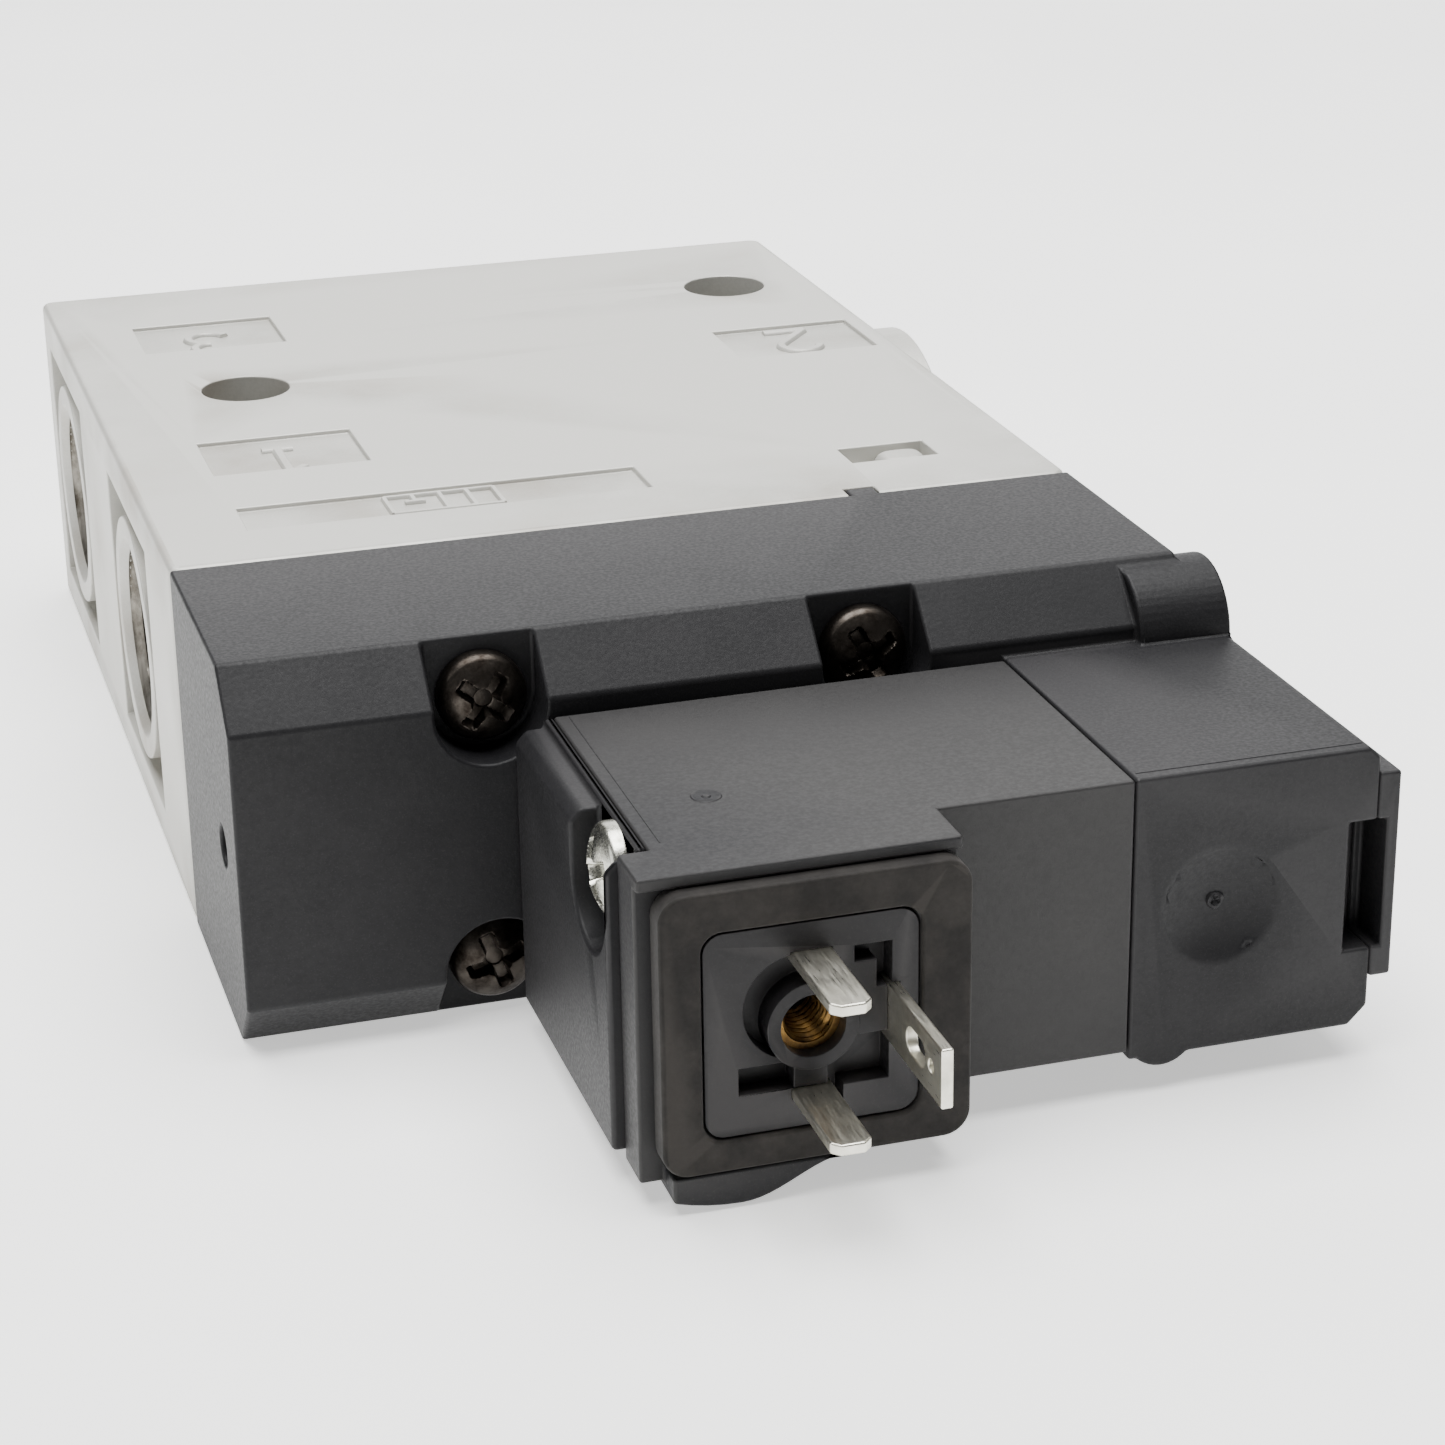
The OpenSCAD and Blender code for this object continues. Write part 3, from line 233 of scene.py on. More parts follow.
def rubber(name, tone, dusty, roughness, grain_mm):
    """Nitrile rubber, moulded and dusted. It gives the eye a deep, soft dark grey
    with a chalky bloom, strongest on the edges that have been handled."""
    material, tree, shader = shade(name, {"IOR": 1.5, "Specular IOR Level": 0.22,
                                          "Sheen Weight": 0.06, "Sheen Roughness": 0.5})
    place, noise = grain(tree, shader, grain_mm, 0.01, 0.6)
    bloom = add(tree, "ShaderNodeTexNoise", {"Scale": per_metre(2.5), "Detail": 6.0,
                "Roughness": 0.65}, {"Vector": place})
    base = stops(add(tree, "ShaderNodeValToRGB", links={"Fac": bloom.outputs["Fac"]}),
                 (0.38, tone), (0.8, dusty))
    edge = stops(add(tree, "ShaderNodeValToRGB",
                     links={"Fac": add(tree, "ShaderNodeNewGeometry").outputs["Pointiness"]}),
                 (0.51, 0.0), (0.62, 0.8))
    dusted = add(tree, "ShaderNodeMix", {"B": linear(dusty)},
                 {"Factor": edge.outputs["Color"], "A": base.outputs["Color"]},
                 data_type="RGBA")
    tree.links.new(dusted.outputs["Result"], shader.inputs["Base Color"])
    rough = stops(add(tree, "ShaderNodeValToRGB", links={"Fac": noise.outputs["Fac"]}),
                  (0.3, roughness - 0.06), (0.7, roughness + 0.06))
    tree.links.new(rough.outputs["Color"], shader.inputs["Roughness"])
    return material


def worked_metal(name, tone, second, roughness, patch_mm, line_mm, stretch, relief=0.5):
    """Bare or plated metal with tool lines: noise stretched along one axis for the
    lines and a slow cloud between two tones for tarnish. It gives the eye a bright
    metal whose highlights break up along the way it was worked."""
    material, tree, shader = shade(name, {"Metallic": 1.0})
    place = add(tree, "ShaderNodeTexCoord").outputs["Object"]
    mapping = add(tree, "ShaderNodeMapping", {"Scale": stretch}, {"Vector": place})
    lines = add(tree, "ShaderNodeTexNoise", {"Scale": per_metre(line_mm), "Detail": 3.0},
                {"Vector": mapping.outputs["Vector"]})
    cloud = add(tree, "ShaderNodeTexNoise", {"Scale": per_metre(patch_mm), "Detail": 5.0,
                "Roughness": 0.65}, {"Vector": place})
    base = stops(add(tree, "ShaderNodeValToRGB", links={"Fac": cloud.outputs["Fac"]}),
                 (0.35, second), (0.6, tone))
    tree.links.new(base.outputs["Color"], shader.inputs["Base Color"])
    mixed = add(tree, "ShaderNodeMix", {"Factor": 0.5},
                {"A": cloud.outputs["Fac"], "B": lines.outputs["Fac"]})
    rough = stops(add(tree, "ShaderNodeValToRGB", links={"Fac": mixed.outputs["Result"]}),
                  (0.3, roughness + 0.14), (0.65, roughness - 0.08))
    tree.links.new(rough.outputs["Color"], shader.inputs["Roughness"])
    bump = add(tree, "ShaderNodeBump", {"Strength": relief, "Distance": 0.01 * MM},
               {"Height": lines.outputs["Fac"]})
    tree.links.new(bump.outputs["Normal"], shader.inputs["Normal"])
    return material


def wound_copper(name, wire_mm):
    """Enamelled copper wire wound in layers across the X axis: a wave with one rib
    for each wire. It gives the eye a glossy red-brown rope of fine rings, with painted
    shade in the grooves between wires."""
    material, tree, shader = shade(name, {"Metallic": 0.85, "Roughness": 0.28,
                                          "Coat Weight": 0.7, "Coat Roughness": 0.12})
    place = add(tree, "ShaderNodeTexCoord").outputs["Object"]
    wave = add(tree, "ShaderNodeTexWave",
               {"Scale": per_metre(wire_mm) * math.tau / 20, "Distortion": 0.15},
               {"Vector": place}, bands_direction="X")
    # The colour follows the rib wave: the dark brown in the grooves between wires is painted
    # shade, and the paler brown on the crests is the copper.
    base = stops(add(tree, "ShaderNodeValToRGB", links={"Fac": wave.outputs["Fac"]}),
                 (0.1, "#5a2410"), (0.7, "#b4602c"))
    tree.links.new(base.outputs["Color"], shader.inputs["Base Color"])
    bump = add(tree, "ShaderNodeBump", {"Strength": 0.9, "Distance": 0.5 * wire_mm * MM},
               {"Height": wave.outputs["Fac"]})
    tree.links.new(bump.outputs["Normal"], shader.inputs["Normal"])
    return material


# How a metal's tool lines are stretched: rolled along Y, turned about X, or not.
ALONG_Y, ALL_ROUND = (1, 0.06, 1), (1, 1, 1)
TURNED, FINE_TURNED = (1, 0.3, 0.3), (1, 0.2, 0.2)
finishes = {
    "die_cast": cast_aluminium("die_cast_aluminium", "#b9b8b2", "#c8c7c1", "#a9a49b"),
    "black_moulding": moulded_plastic("black_glass_filled_nylon", "#141416", "#353435",
                                      0.52, 0.26, 0.02),
    "coil_moulding": moulded_plastic("charcoal_glass_filled_polyester", "#19191c",
                                     "#3b3a39", 0.5, 0.3, 0.02),
    "plug_plastic": moulded_plastic("black_polyamide", "#151416", "#3a3838", 0.42,
                                    0.35, 0.012, 0.15),
    "bobbin_plastic": moulded_plastic("grey_polyamide", "#4a4b50", "#6f6f70", 0.5,
                                      0.3, 0.012),
    "piston_plastic": moulded_plastic("natural_acetal", "#d8d4c6", "#ebe8dd", 0.38,
                                      0.5, 0.006, 0.1),
    "gasket_rubber": rubber("dusty_nitrile_rubber", "#110f0e", "#302d2a", 0.75, 0.3),
    "seal_rubber": rubber("black_nitrile_rubber", "#151515", "#33322f", 0.5, 0.4),
    "dark_screw_steel": worked_metal("black_oxide_steel", "#4a4540", "#241f1b", 0.36,
                                     1.2, 0.12, ALL_ROUND),
    "zinc_screw_steel": worked_metal("bright_zinc_plated_steel", "#dcdcd2", "#a7a69a",
                                     0.24, 0.9, 0.15, ALL_ROUND),
    "tinned_contact": worked_metal("tinned_brass_strip", "#e6e3d6", "#c4c1b3", 0.34,
                                   2.4, 0.1, ALONG_Y, 0.3),
    # Brass tones darker than clean brass: painted shade for the terminal insert down in the
    # plug's well, shared by every brass part. The slow cloud towards the darker tone is the
    # brass's own tarnish.
    "brass": worked_metal("turned_brass_painted_shade", "#8f6f3f", "#54402a", 0.34, 1.5, 0.08,
                          TURNED),
    "anodised_aluminium": worked_metal("natural_anodised_aluminium", "#c6c8cb",
                                       "#aeb0b4", 0.34, 4.0, 0.1, ALL_ROUND),
    "magnetic_steel": worked_metal("turned_magnetic_steel", "#b8b9bb", "#8f9092", 0.32,
                                   3.0, 0.1, FINE_TURNED),
    "spring_steel": worked_metal("drawn_spring_steel", "#b3b1ad", "#7f7c78", 0.27, 2.0,
                                 0.08, ALL_ROUND),
    "copper_wire": wound_copper("enamelled_copper_wire", 0.22),
}
# Port threads: a grey well below the casting's, painted shade for the inside of the port
# holes.
painted_shade_thread_finish = worked_metal("aluminium_thread_painted_shade", "#8d8981", "#4f4a42", 0.42, 3.0, 0.12,
                          ALL_ROUND)
for node, holder in frame["nodes"].items():
    holder.data.materials.clear()
    holder.data.materials.append(finishes[slot_of[node]])


# ---------------------------------------------------------------- mesh making

def joined(parts):
    """Several (vertices, faces) pairs as one."""
    vertices, faces, start = [], [], 0
    for points, cells in parts:
        vertices.append(points)
        faces += [[start + i for i in cell] for cell in cells]
        start += len(points)
    return np.vstack(vertices), faces


def skin(points, wrap_rows=False):
    """Vertices and faces through a grid of points: each row closes on itself, the
    first and last rows meet or end in a flat fan, and faces point outwards because
    the order is turned round where the enclosed volume comes out negative."""
    rows, across = points.shape[:2]
    grid = np.arange(rows * across).reshape(rows, across)
    if wrap_rows:
        grid = np.vstack([grid, grid[:1]])
    grid = np.hstack([grid, grid[:, :1]])
    vertices = points.reshape(-1, 3)
    quads = np.stack([grid[:-1, :-1], grid[:-1, 1:], grid[1:, 1:], grid[1:, :-1]], -1)
    quads = quads.reshape(-1, 4)
    fans = []
    if not wrap_rows:
        for row, order in ((grid[0], -1), (grid[-1], 1)):
            hub = len(vertices)
            vertices = np.vstack([vertices, vertices[row[:-1]].mean(0)])
            pair = np.stack([row[:-1], row[1:]], -1)[:, ::order]
            fans.append(np.hstack([pair, np.full((len(pair), 1), hub)]))
    triangles = np.vstack([quads[:, :3], quads[:, [0, 2, 3]], *fans])
    a, b, c = (vertices[triangles[:, i]] for i in range(3))
    volume = np.einsum("ij,ij->", a, np.cross(b, c))
    order = -1 if volume < 0 else 1
    return vertices, [cell[::order].tolist() for group in (quads, *fans) for cell in group]


def placed(local, origin, axis, turn=0.0):
    """Points whose local Z runs along axis, turned about it in degrees."""
    axis = np.array(axis, float)
    side = np.array([0, 0, 1.0]) if abs(axis[2]) < 0.5 else np.array([0, 1.0, 0])
    first = np.cross(side, axis)
    second = np.cross(axis, first)
    cos, sin = math.cos(math.radians(turn)), math.sin(math.radians(turn))
    x, y, z = np.moveaxis(np.asarray(local, float), -1, 0)
    return (np.array(origin, float) + x[..., None] * (cos * first + sin * second)
            + y[..., None] * (cos * second - sin * first) + z[..., None] * axis)


def ring_angles(count):
    """Angles of a full turn, without the repeated last one."""
    return np.arange(count) * math.tau / count


def lathe(profile, count=96):
    """A profile of (radius, height) turned about Z: x = r cos a, y = r sin a."""
    radius, height = np.asarray(profile, float).T
    angle = ring_angles(count)
    return np.stack([radius[:, None] * np.cos(angle), radius[:, None] * np.sin(angle),
                     np.repeat(height[:, None], count, 1)], -1)


def threaded(major, minor, pitch, length, inward, count=48, rows=10, wall=0.03):
    """A screw thread about Z: the radius follows a flattened zigzag of
    height / pitch - angle / turn, and fades out over the first and last half
    pitch. Inward threads get a plain outer wall just outside the major radius."""
    angle = ring_angles(count)[None, :]
    height = np.linspace(0, length, int(rows * length / pitch) + 1)[:, None]
    phase = (height / pitch - angle / math.tau) % 1
    tooth = np.clip((1 - abs(2 * phase - 1)) * 1.35 - 0.175, 0, 1)
    tooth = tooth * np.clip(np.minimum(height, length - height) / (0.5 * pitch), 0, 1)
    radius = major - (major - minor) * tooth if inward else minor + (major - minor) * tooth
    height = height + 0 * angle
    points = np.stack([radius * np.cos(angle), radius * np.sin(angle), height], -1)
    if not inward:
        return points
    back = np.stack([(major + wall) * np.cos(angle + 0 * height),
                     (major + wall) * np.sin(angle + 0 * height), height], -1)[::-1]
    return np.concatenate([points, back[[0, -1]]])


def piece(name, parts, slot, body, finish=None, smooth_angle=32):
    """An object made of (vertices, faces) parts in millimetres, riding on a body. It
    takes its slot's finish unless it has one of its own."""
    vertices, faces = joined(parts)
    mesh = bpy.data.meshes.new(name)
    mesh.from_pydata((vertices * MM).tolist(), [], faces)
    mesh.update()
    mesh.shade_smooth()
    mesh.set_sharp_from_angle(angle=math.radians(smooth_angle))
    made = bpy.data.objects.new(name, mesh)
    bpy.context.scene.collection.objects.link(made)
    mesh.materials.append(finish or finishes[slot])
    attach(made, body)
    return made


FLAT, SHARP = 0.6, 18                  # degrees between faces: level up to, edged from
CORNER_REACH = 1.05                    # how far the upright corners reach in
BEVEL_SEGMENTS = 3


def join_flats(work):
    """Joins level triangles into whole faces. Edges at the smallest angle to a sharp
    edge go first, so that a bridge to a hole, which has to stay, lies well clear of
    the edges that get rounded."""
    limit = math.radians(FLAT)
    turn = {edge: edge.calc_face_angle(math.pi) for edge in work.edges}

    def clearance(edge):
        least = math.pi
        for near in edge.verts:
            along = (edge.other_vert(near).co - near.co).normalized()
            for other in near.link_edges:
                if turn[other] > limit:
                    across = (other.other_vert(near).co - near.co).normalized()
                    least = min(least, along.angle(across, math.pi))
        return least

    level = sorted((edge for edge in work.edges if turn[edge] <= limit), key=clearance)
    for edge in level:
        if edge.is_valid and len(edge.link_faces) == 2:
            bmesh.utils.face_join(edge.link_faces)
    for corner in list(work.verts):
        if len(corner.link_edges) == 2:
            ends = [edge.other_vert(corner).co - corner.co for edge in corner.link_edges]
            if ends[0].angle(-ends[1], math.pi) < limit:
                bmesh.utils.vert_dissolve(corner)


def softened(name, node, width, fine=None, outer=None):
    """Stands for a CAD node: its mesh with doubles merged and flat triangles joined,
    and every sharp edge rounded. The outline of the outer box, its upright corners
    included, gets the full width and the other edges the fine one, if it is given."""
    mesh = frame["nodes"][node].data.copy()
    mesh.name = name
    work = bmesh.new()
    work.from_mesh(mesh)
    bmesh.ops.remove_doubles(work, verts=work.verts, dist=0.002 * MM)
    join_flats(work)
    weight = work.edges.layers.float.new("bevel_weight_edge")
    low, high = outer or box_mm(node)
    planes = np.array([low, high])
    for edge in work.edges:
        if len(edge.link_faces) != 2 or edge.calc_face_angle() < math.radians(SHARP):
            continue
        ends = np.array([list(v.co) for v in edge.verts]) / MM
        away = abs(planes[:, None, :] - ends[None])
        on_plane = (away < 0.02).all(1)
        rim = on_plane[:, 2].any() and (away[:, :, :2].min(0) < CORNER_REACH).all()
        outline = on_plane.sum() >= 2 or rim
        edge[weight] = 1.0 if fine is None or outline else fine / width
    work.to_mesh(mesh)
    work.free()
    mesh.shade_smooth()
    mesh.set_sharp_from_angle(angle=math.radians(SHARP))
    mesh.materials.clear()
    mesh.materials.append(finishes[slot_of[node]])
    made = bpy.data.objects.new(name, mesh)
    bpy.context.scene.collection.objects.link(made)
    bevel = made.modifiers.new("edges", "BEVEL")
    bevel.limit_method, bevel.width = "WEIGHT", width * MM
    bevel.segments = BEVEL_SEGMENTS
    bevel.use_clamp_overlap, bevel.harden_normals = False, True
    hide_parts(node)
    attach(made, body_of[node])
    return made


# ---------------------------------------------------------------- castings

body_low, body_high = box_mm("valve_body")
base_half = -body_low[0]               # half the body's width, without port 2's boss
softened("body_casting", "valve_body", 0.45, 0.12,
         (body_low, np.array([base_half, body_high[1], body_high[2]])))
softened("cover_moulding", "pilot_cover", 0.24)
softened("coil_moulding", "coil_housing", 0.2)
softened("retainer_plate", "coil_retainer", 0.3)
softened("end_cap", "pilot_end_cap", 0.2)
softened("face_gasket", "connector_gasket", 0.2)
softened("plug_platform", "connector_base", 0.06)
softened("upper_blade", "contact_upper", 0.14)
softened("lower_blade", "contact_lower", 0.14)
softened("ground_blade", "ground_contact", 0.12)
softened("button", "override_button", 0.12)
softened("button_bush", "override_bush", 0.12)


# ---------------------------------------------------------------- threads

PORT_PITCH, PORT_MINOR = 1.337, 5.72
INSERT_PITCH, INSERT_MINOR = 0.5, 1.25


def port_thread(mount_name, name, pitch, minor, slot, run_out, finish=None):
    """The thread of a tapped hole, from just inside its mouth to the run-out."""
    mount = mounts[mount_name]
    axis = np.array(mount["axis"], float)
    length = mount["dims"]["length_mm"]
    mouth = np.array(mount["pos_m"]) / MM + axis * length / 2
    local = threaded(mount["dims"]["r_mm"], minor, pitch, length - run_out, True)
    part = skin(placed(local, mouth, -axis), wrap_rows=True)
    return piece(name, [part], slot, "valve", finish)


# The port threads wear the darker grey, which is painted shade inside the holes.
for number in (1, 2, 3):
    port_thread(f"port_{number}", f"port_{number}_thread", PORT_PITCH, PORT_MINOR,
                "die_cast", 1.2, painted_shade_thread_finish)
# The insert's thread takes the brass finish, whose dark tone is painted shade for the well.
port_thread("plug_screw", "insert_thread", INSERT_PITCH, INSERT_MINOR, "brass", 0.1)


# ---------------------------------------------------------------- screws

THREAD_MAJOR, THREAD_MINOR, THREAD_PITCH = 1.49, 1.23, 0.5
HEAD_R, HEAD_ROUND, HEAD_CHAMFER, NECK_R = 2.8, 0.35, 0.12, 1.5
RECESS_DEEP, RECESS_HALF, RECESS_REACH = 1.15, 0.42, 1.75
RECESS_ZONE = 2.1                      # radius of the finely divided middle


def recess_depth(x, y, deep, half_width, half_length, blend=0.14):
    """Depth of a cross recess: two crossed bars with steep walls, shallower
    outwards, and a round pit where they meet."""
    def bar(across, along):
        wall = np.clip((half_width - abs(across)) / blend + 0.5, 0, 1)
        end = np.clip((half_length - abs(along)) / (3 * blend) + 0.5, 0, 1)
        return wall * end * (1 - 0.35 * abs(along) / half_length)
    pit = np.clip((0.75 - np.hypot(x, y)) / 0.4 + 0.5, 0, 1)
    return deep * np.maximum(np.maximum(bar(x, y), bar(y, x)), pit)


def pan_screw(seat, axis, high, shank, bite, turn):
    """A pan head screw: a domed, round-shouldered head with a cross recess pressed
    into it, a plain shank, and a thread over the last stretch."""
    dome = 0.5 * high
    ball = (HEAD_R ** 2 + dome ** 2) / (2 * dome)
    inner = np.linspace(0.04, RECESS_ZONE, 42)
    shoulder = np.linspace(0, math.pi / 2, 8)
    arc_r = HEAD_R - HEAD_ROUND + HEAD_ROUND * np.sin(shoulder)
    arc_h = high - dome - HEAD_ROUND + HEAD_ROUND * np.cos(shoulder)
    arc_h = arc_h + (math.sqrt(ball ** 2 - (HEAD_R - HEAD_ROUND) ** 2)
                     - math.sqrt(ball ** 2 - HEAD_R ** 2)) * (1 - shoulder * 2 / math.pi)
    top_r = np.concatenate([inner, np.linspace(RECESS_ZONE, HEAD_R - HEAD_ROUND, 6)[1:-1]])
    top_h = high - ball + np.sqrt(ball ** 2 - top_r ** 2)
    radii = np.concatenate([top_r, arc_r, [HEAD_R, HEAD_R - HEAD_CHAMFER, NECK_R]])
    heights = np.concatenate([top_h, arc_h, [HEAD_CHAMFER, 0.0, 0.0]])
    head = lathe(np.stack([radii, heights], -1), 120)
    middle = head[:len(inner)]
    middle[..., 2] -= recess_depth(middle[..., 0], middle[..., 1], RECESS_DEEP,
                                   RECESS_HALF, RECESS_REACH)
    plain = lathe([(THREAD_MAJOR, 0.0), (THREAD_MAJOR, bite - shank),
                   (THREAD_MINOR, bite - shank - 0.2)], 32)
    thread = threaded(THREAD_MAJOR, THREAD_MINOR, THREAD_PITCH, bite, False, 24, 8)
    thread = thread * [1, 1, -1] + [0, 0, bite - shank]
    return [skin(placed(local, seat, axis, turn)) for local in (head, plain, thread)]


screw_low, screw_high = box_mm("cover_screws")
cover_head_h = 2.2
cover_seat_y = screw_low[1] + cover_head_h
cover_shank = screw_high[1] - cover_seat_y
cover_parts = []
for number, (x, z) in enumerate((x, z) for x in (screw_low[0] + HEAD_R, screw_high[0] - HEAD_R)
                                for z in (screw_low[2] + HEAD_R, screw_high[2] - HEAD_R)):
    cover_parts += pan_screw((x, cover_seat_y, z), (0, -1, 0), cover_head_h, cover_shank,
                             8.0, 20 + 33 * number)
cover_screws = piece("pan_head_screws", cover_parts, "dark_screw_steel", "valve")
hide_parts("cover_screws")

zinc_low, zinc_high = box_mm("retainer_screw")
zinc_head_h = 1.8
zinc_seat_x = zinc_low[0] + zinc_head_h
zinc_screw = piece("coil_screw", pan_screw(
    (zinc_seat_x, (zinc_low[1] + zinc_high[1]) / 2, (zinc_low[2] + zinc_high[2]) / 2),
    (-1, 0, 0), zinc_head_h, zinc_high[0] - zinc_seat_x, 7.0, 25), "zinc_screw_steel", "valve")
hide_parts("retainer_screw")


# ---------------------------------------------------------------- springs

def coil_spring(wire, mean, length, turns, dead=1.0):
    """A compression spring along Z: its centre line climbs slowly over the closed
    end turns and evenly between them, and a round section rides on it."""
    turn = np.linspace(0, turns, int(turns * 40) + 1)
    climb = np.clip(turn - dead, 0, turns - 2 * dead) / (turns - 2 * dead)
    flat = 2 * wire * dead
    height = wire + climb * (length - 2 * wire - 2 * flat)
    height = height + flat * (1 + np.minimum(turn, dead) / dead
                              - np.minimum(turns - turn, dead) / dead)
    angle = turn * math.tau
    section = ring_angles(12)
    radius = mean + wire * np.cos(section)[None, :]
    return np.stack([radius * np.cos(angle)[:, None], radius * np.sin(angle)[:, None],
                     height[:, None] + wire * np.sin(section)[None, :]], -1)


def spring(name, node, along, wire, turns, fixed):
    """A spring in place of its CAD stand-in, on a mesh of its own. It works out where
    the fixed end is, but nothing makes the free end follow a joint."""
    low, high = box_mm(node)
    centre = (low + high) / 2
    length = high[along] - low[along]
    width = min(np.delete(high - low, along))
    start = centre.copy()
    start[along] = low[along]
    axis = np.zeros(3)
    axis[along] = 1
    local = coil_spring(wire, width / 2 - wire, length, turns)
    made = piece(name, [skin(placed(local, start, axis))], "spring_steel", "valve")
    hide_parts(node)
    anchor = centre.copy()
    anchor[along] = high[along] if fixed > 0 else low[along]
    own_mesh(made)
    return made


spring("spool_spring", "return_spring", 1, 0.45, 9, 1)
spring("button_spring", "override_spring", 0, 0.25, 7, -1)
spring("plunger_spring", "armature_spring", 0, 0.2, 9, -1)


# ---------------------------------------------------------------- raised marks

def arc(x, y, radius, start, stop, count=18):
    """Points of an arc between two angles in degrees."""
    angle = np.radians(np.linspace(start, stop, count))
    return np.stack([x + radius * np.cos(angle), y + radius * np.sin(angle)], -1)


def line(*points):
    """Straight stretches through the given points."""
    return np.array(points, float)


def stroke(path, half, high, sink=0.3):
    """A raised stroke: a section with drafted sides and a softly rounded top,
    carried along the path square to it, and sunk a little into the face."""
    path = np.asarray(path, float)
    along = np.gradient(path, axis=0)
    along /= np.linalg.norm(along, axis=1)[:, None]
    square = np.stack([-along[:, 1], along[:, 0]], -1)
    section = np.array([(-half * 1.35, -sink), (-half * 1.35, 0), (-half, 0.75 * high),
                        (-0.75 * half, 0.96 * high), (0, high), (0.75 * half, 0.96 * high),
                        (half, 0.75 * high), (half * 1.35, 0), (half * 1.35, -sink)])
    flat = path[:, None, :] + square[:, None, :] * section[None, :, 0, None]
    height = np.repeat(section[None, :, 1], len(path), 0)
    return np.concatenate([flat, height[..., None]], -1)


# Strokes of the three port numbers, drawn about their centres.
DIGITS = {
    1: [line((0, -3), (0, 0), (0, 3)), line((-1.2, 1.7), (-0.6, 2.3), (0, 2.9)),
        line((-1.1, -2.9), (0, -2.9), (1.1, -2.9))],
    2: [np.vstack([arc(0, 1.4, 1.5, 165, -38), [(-1.5, -2.8)]]),
        line((-1.6, -2.9), (0, -2.9), (1.7, -2.9))],
    3: [arc(0, 1.5, 1.4, 160, -90), arc(0, -1.4, 1.5, 90, -160)],
}
# Generic pneumatic symbol: two switching squares, a flow arrow in one and the
# blocked port's bar in the other.
SYMBOL = [
    line((-3.8, -1.8), (0, -1.8), (3.8, -1.8)), line((-3.8, 1.8), (0, 1.8), (3.8, 1.8)),
    line((-3.8, -1.8), (-3.8, 0), (-3.8, 1.8)), line((0, -1.8), (0, 0), (0, 1.8)),
    line((3.8, -1.8), (3.8, 0), (3.8, 1.8)), line((-1.9, -1.8), (-1.9, 0), (-1.9, 1.8)),
    line((1.2, -0.4), (1.9, -0.4), (2.6, -0.4)), line((1.9, -1.8), (1.9, -1.1), (1.9, -0.4)),
]
# Centre of each number: X, and its distance from the seam.
NUMBER_PLACES = {1: (-19.7, 21.4), 2: (24.0, 39.0), 3: (-19.7, 54.2)}
SYMBOL_PLACE = (-11.0, 8.8)
DIGIT_HALF, DIGIT_HIGH, SYMBOL_HALF, SYMBOL_HIGH = 0.32, 0.28, 0.17, 0.26
LABEL_DEEP, POCKET_DEEP = 0.35, 1.5
TURN = 180                             # the marks read from the far side, as cast
seam_y = body_low[1]
label_floor = body_high[2] - LABEL_DEEP


def marks(name, strokes, place, half, high):
    """Strokes raised on the label fields' floor, turned about their centre. Place is
    X and the distance from the seam."""
    centre = (place[0], seam_y + place[1], label_floor)
    parts = [skin(placed(stroke(path, half, high), centre, (0, 0, 1), TURN))
             for path in strokes]
    return piece(name, parts, "die_cast", "valve")


for number, place in NUMBER_PLACES.items():
    marks(f"port_number_{number}", DIGITS[number], place, DIGIT_HALF, DIGIT_HIGH)
marks("valve_symbol", SYMBOL, SYMBOL_PLACE, SYMBOL_HALF, SYMBOL_HIGH)


def pad(centre, half, high, corner=4.0, rows=9, count=64):
    """A rounded raised pad: superellipse outlines that shrink as they climb a
    quarter of an ellipse."""
    angle = ring_angles(count)[None, :]
    lift = np.linspace(0, math.pi / 2, rows)[:, None]
    shrink = np.where(lift < math.pi / 2, 1 - 0.45 * (1 - np.cos(lift)), 0.55)
    power = 2 / corner
    x = half[0] * np.sign(np.cos(angle)) * abs(np.cos(angle)) ** power * shrink
    y = half[1] * np.sign(np.sin(angle)) * abs(np.sin(angle)) ** power * shrink
    z = high * np.sin(lift) + 0 * angle
    base = np.stack([x[0], y[0], 0 * z[0] - 0.3], -1)[None]
    return np.concatenate([base, np.stack([x, y, z], -1)]) + np.array(centre)


pocket_floor = body_high[2] - POCKET_DEEP
piece("pocket_pad", [skin(pad((21.9, seam_y + 8.5, pocket_floor), (1.9, 1.5), 1.25))],
      "die_cast", "valve")

# Marks the moulds left: a broken-off gate pip in the dimple, a round gate scar
# on the coil, and thin parting lines.
coil_top, pilot_front = box_mm("coil_housing")[1][2], box_mm("pilot_cover")[0][1]
dimple_x, axis_z, dimple_deep = 23.6, 11.75, 0.87
pip = lathe([(0.62, -0.12), (0.6, 0.0), (0.5, 0.16), (0.34, 0.2), (0.24, 0.08), (0.1, 0.05)],
            28)
pip[..., 2] += 0.05 * np.sin(3 * np.arctan2(pip[..., 1], pip[..., 0]))
piece("gate_pip", [skin(placed(pip, (dimple_x, pilot_front + dimple_deep, axis_z),
                               (0, -1, 0)))], "black_moulding", "valve")
scar = lathe([(0.95, -0.1), (0.93, 0.0), (0.86, 0.05), (0.78, 0.05), (0.7, 0.01), (0.3, 0.0),
              (0.22, 0.06), (0.08, 0.07)], 40)
piece("coil_gate_scar", [skin(placed(scar, (-6.1, -72.0, coil_top), (0, 0, 1)))],
      "coil_moulding", "valve")


def parting_line(name, start, stop, slot):
    """A hair-thin raised line on a level top face."""
    path = np.linspace(start[:2], stop[:2], 3)
    local = stroke(path, 0.035, 0.035, 0.05) + np.array([0, 0, start[2]])
    return piece(name, [skin(local)], slot, "valve")


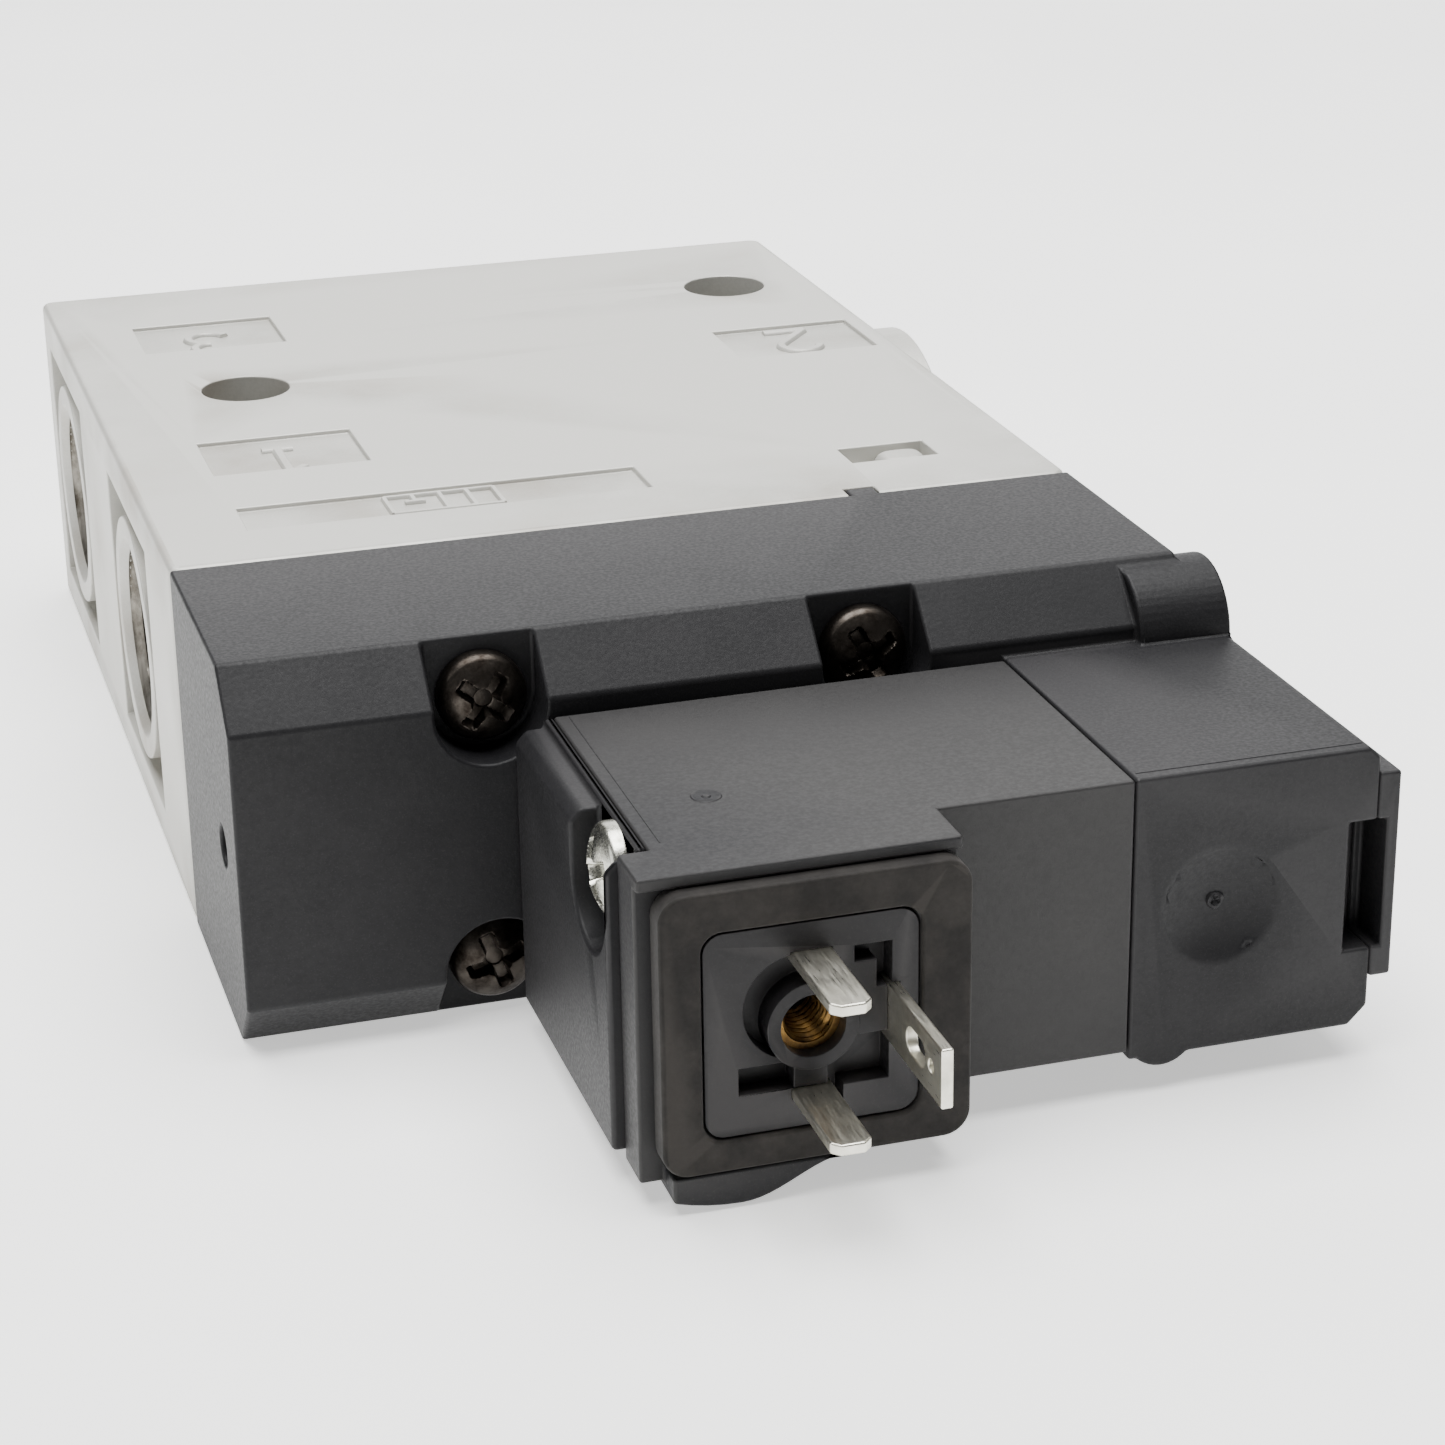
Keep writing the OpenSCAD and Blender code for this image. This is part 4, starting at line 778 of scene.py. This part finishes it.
parting_line("pilot_parting_line", (18.3, pilot_front + 0.9, coil_top),
             (32.7, pilot_front + 0.9, coil_top), "black_moulding")
parting_line("coil_parting_line", (-10.4, -77.4, coil_top), (-10.4, -57.6, coil_top),
             "coil_moulding")


# ---------------------------------------------------------------- table and light

def table_top():
    """Pale matt laminate: near white, with a faint cloud so that it isn't flat, and
    a little light of its own so that it stays paler than the casting."""
    material, tree, shader = shade("pale_laminate", {"Roughness": 0.6, "IOR": 1.45})
    place = add(tree, "ShaderNodeTexCoord").outputs["Object"]
    cloud = add(tree, "ShaderNodeTexNoise", {"Scale": per_metre(60), "Detail": 3.0},
                {"Vector": place})
    tones = stops(add(tree, "ShaderNodeValToRGB", links={"Fac": cloud.outputs["Fac"]}),
                  (0.3, "#f6f6f5"), (0.7, "#fbfbfa"))
    tree.links.new(tones.outputs["Color"], shader.inputs["Base Color"])
    tree.links.new(tones.outputs["Color"], shader.inputs["Emission Color"])
    shader.inputs["Emission Strength"].default_value = 0.8
    reach = 2.5
    mesh = bpy.data.meshes.new("table")
    mesh.from_pydata([(-reach, -reach, 0), (reach, -reach, 0), (reach, reach, 0),
                      (-reach, reach, 0)], [], [(0, 1, 2, 3)])
    mesh.materials.append(material)
    table = bpy.data.objects.new("table", mesh)
    bpy.context.scene.collection.objects.link(table)


def softbox(name, place, size, watts, target=(0, -0.02, 0.01)):
    """A square soft light that faces the target."""
    data = bpy.data.lights.new(name, "AREA")
    data.size, data.energy = size, watts
    lamp = bpy.data.objects.new(name, data)
    bpy.context.scene.collection.objects.link(lamp)
    away = Vector(place) - Vector(target)
    lamp.matrix_world = (Matrix.Translation(place)
                         @ away.to_track_quat("Z", "Y").to_matrix().to_4x4())


table_top()
softbox("overhead", (0.0, 0.0, 0.7), 0.7, 15.0)
softbox("rear_wall", (0.35, 1.3, 0.6), 1.3, 11.0)
softbox("left_fill", (-0.8, -0.1, 0.3), 0.5, 1.2)
world = bpy.data.worlds.new("studio")
bpy.context.scene.world = world
world.use_nodes = True
world.node_tree.nodes["Background"].inputs["Color"].default_value = linear("#ffffff")
world.node_tree.nodes["Background"].inputs["Strength"].default_value = 0.1
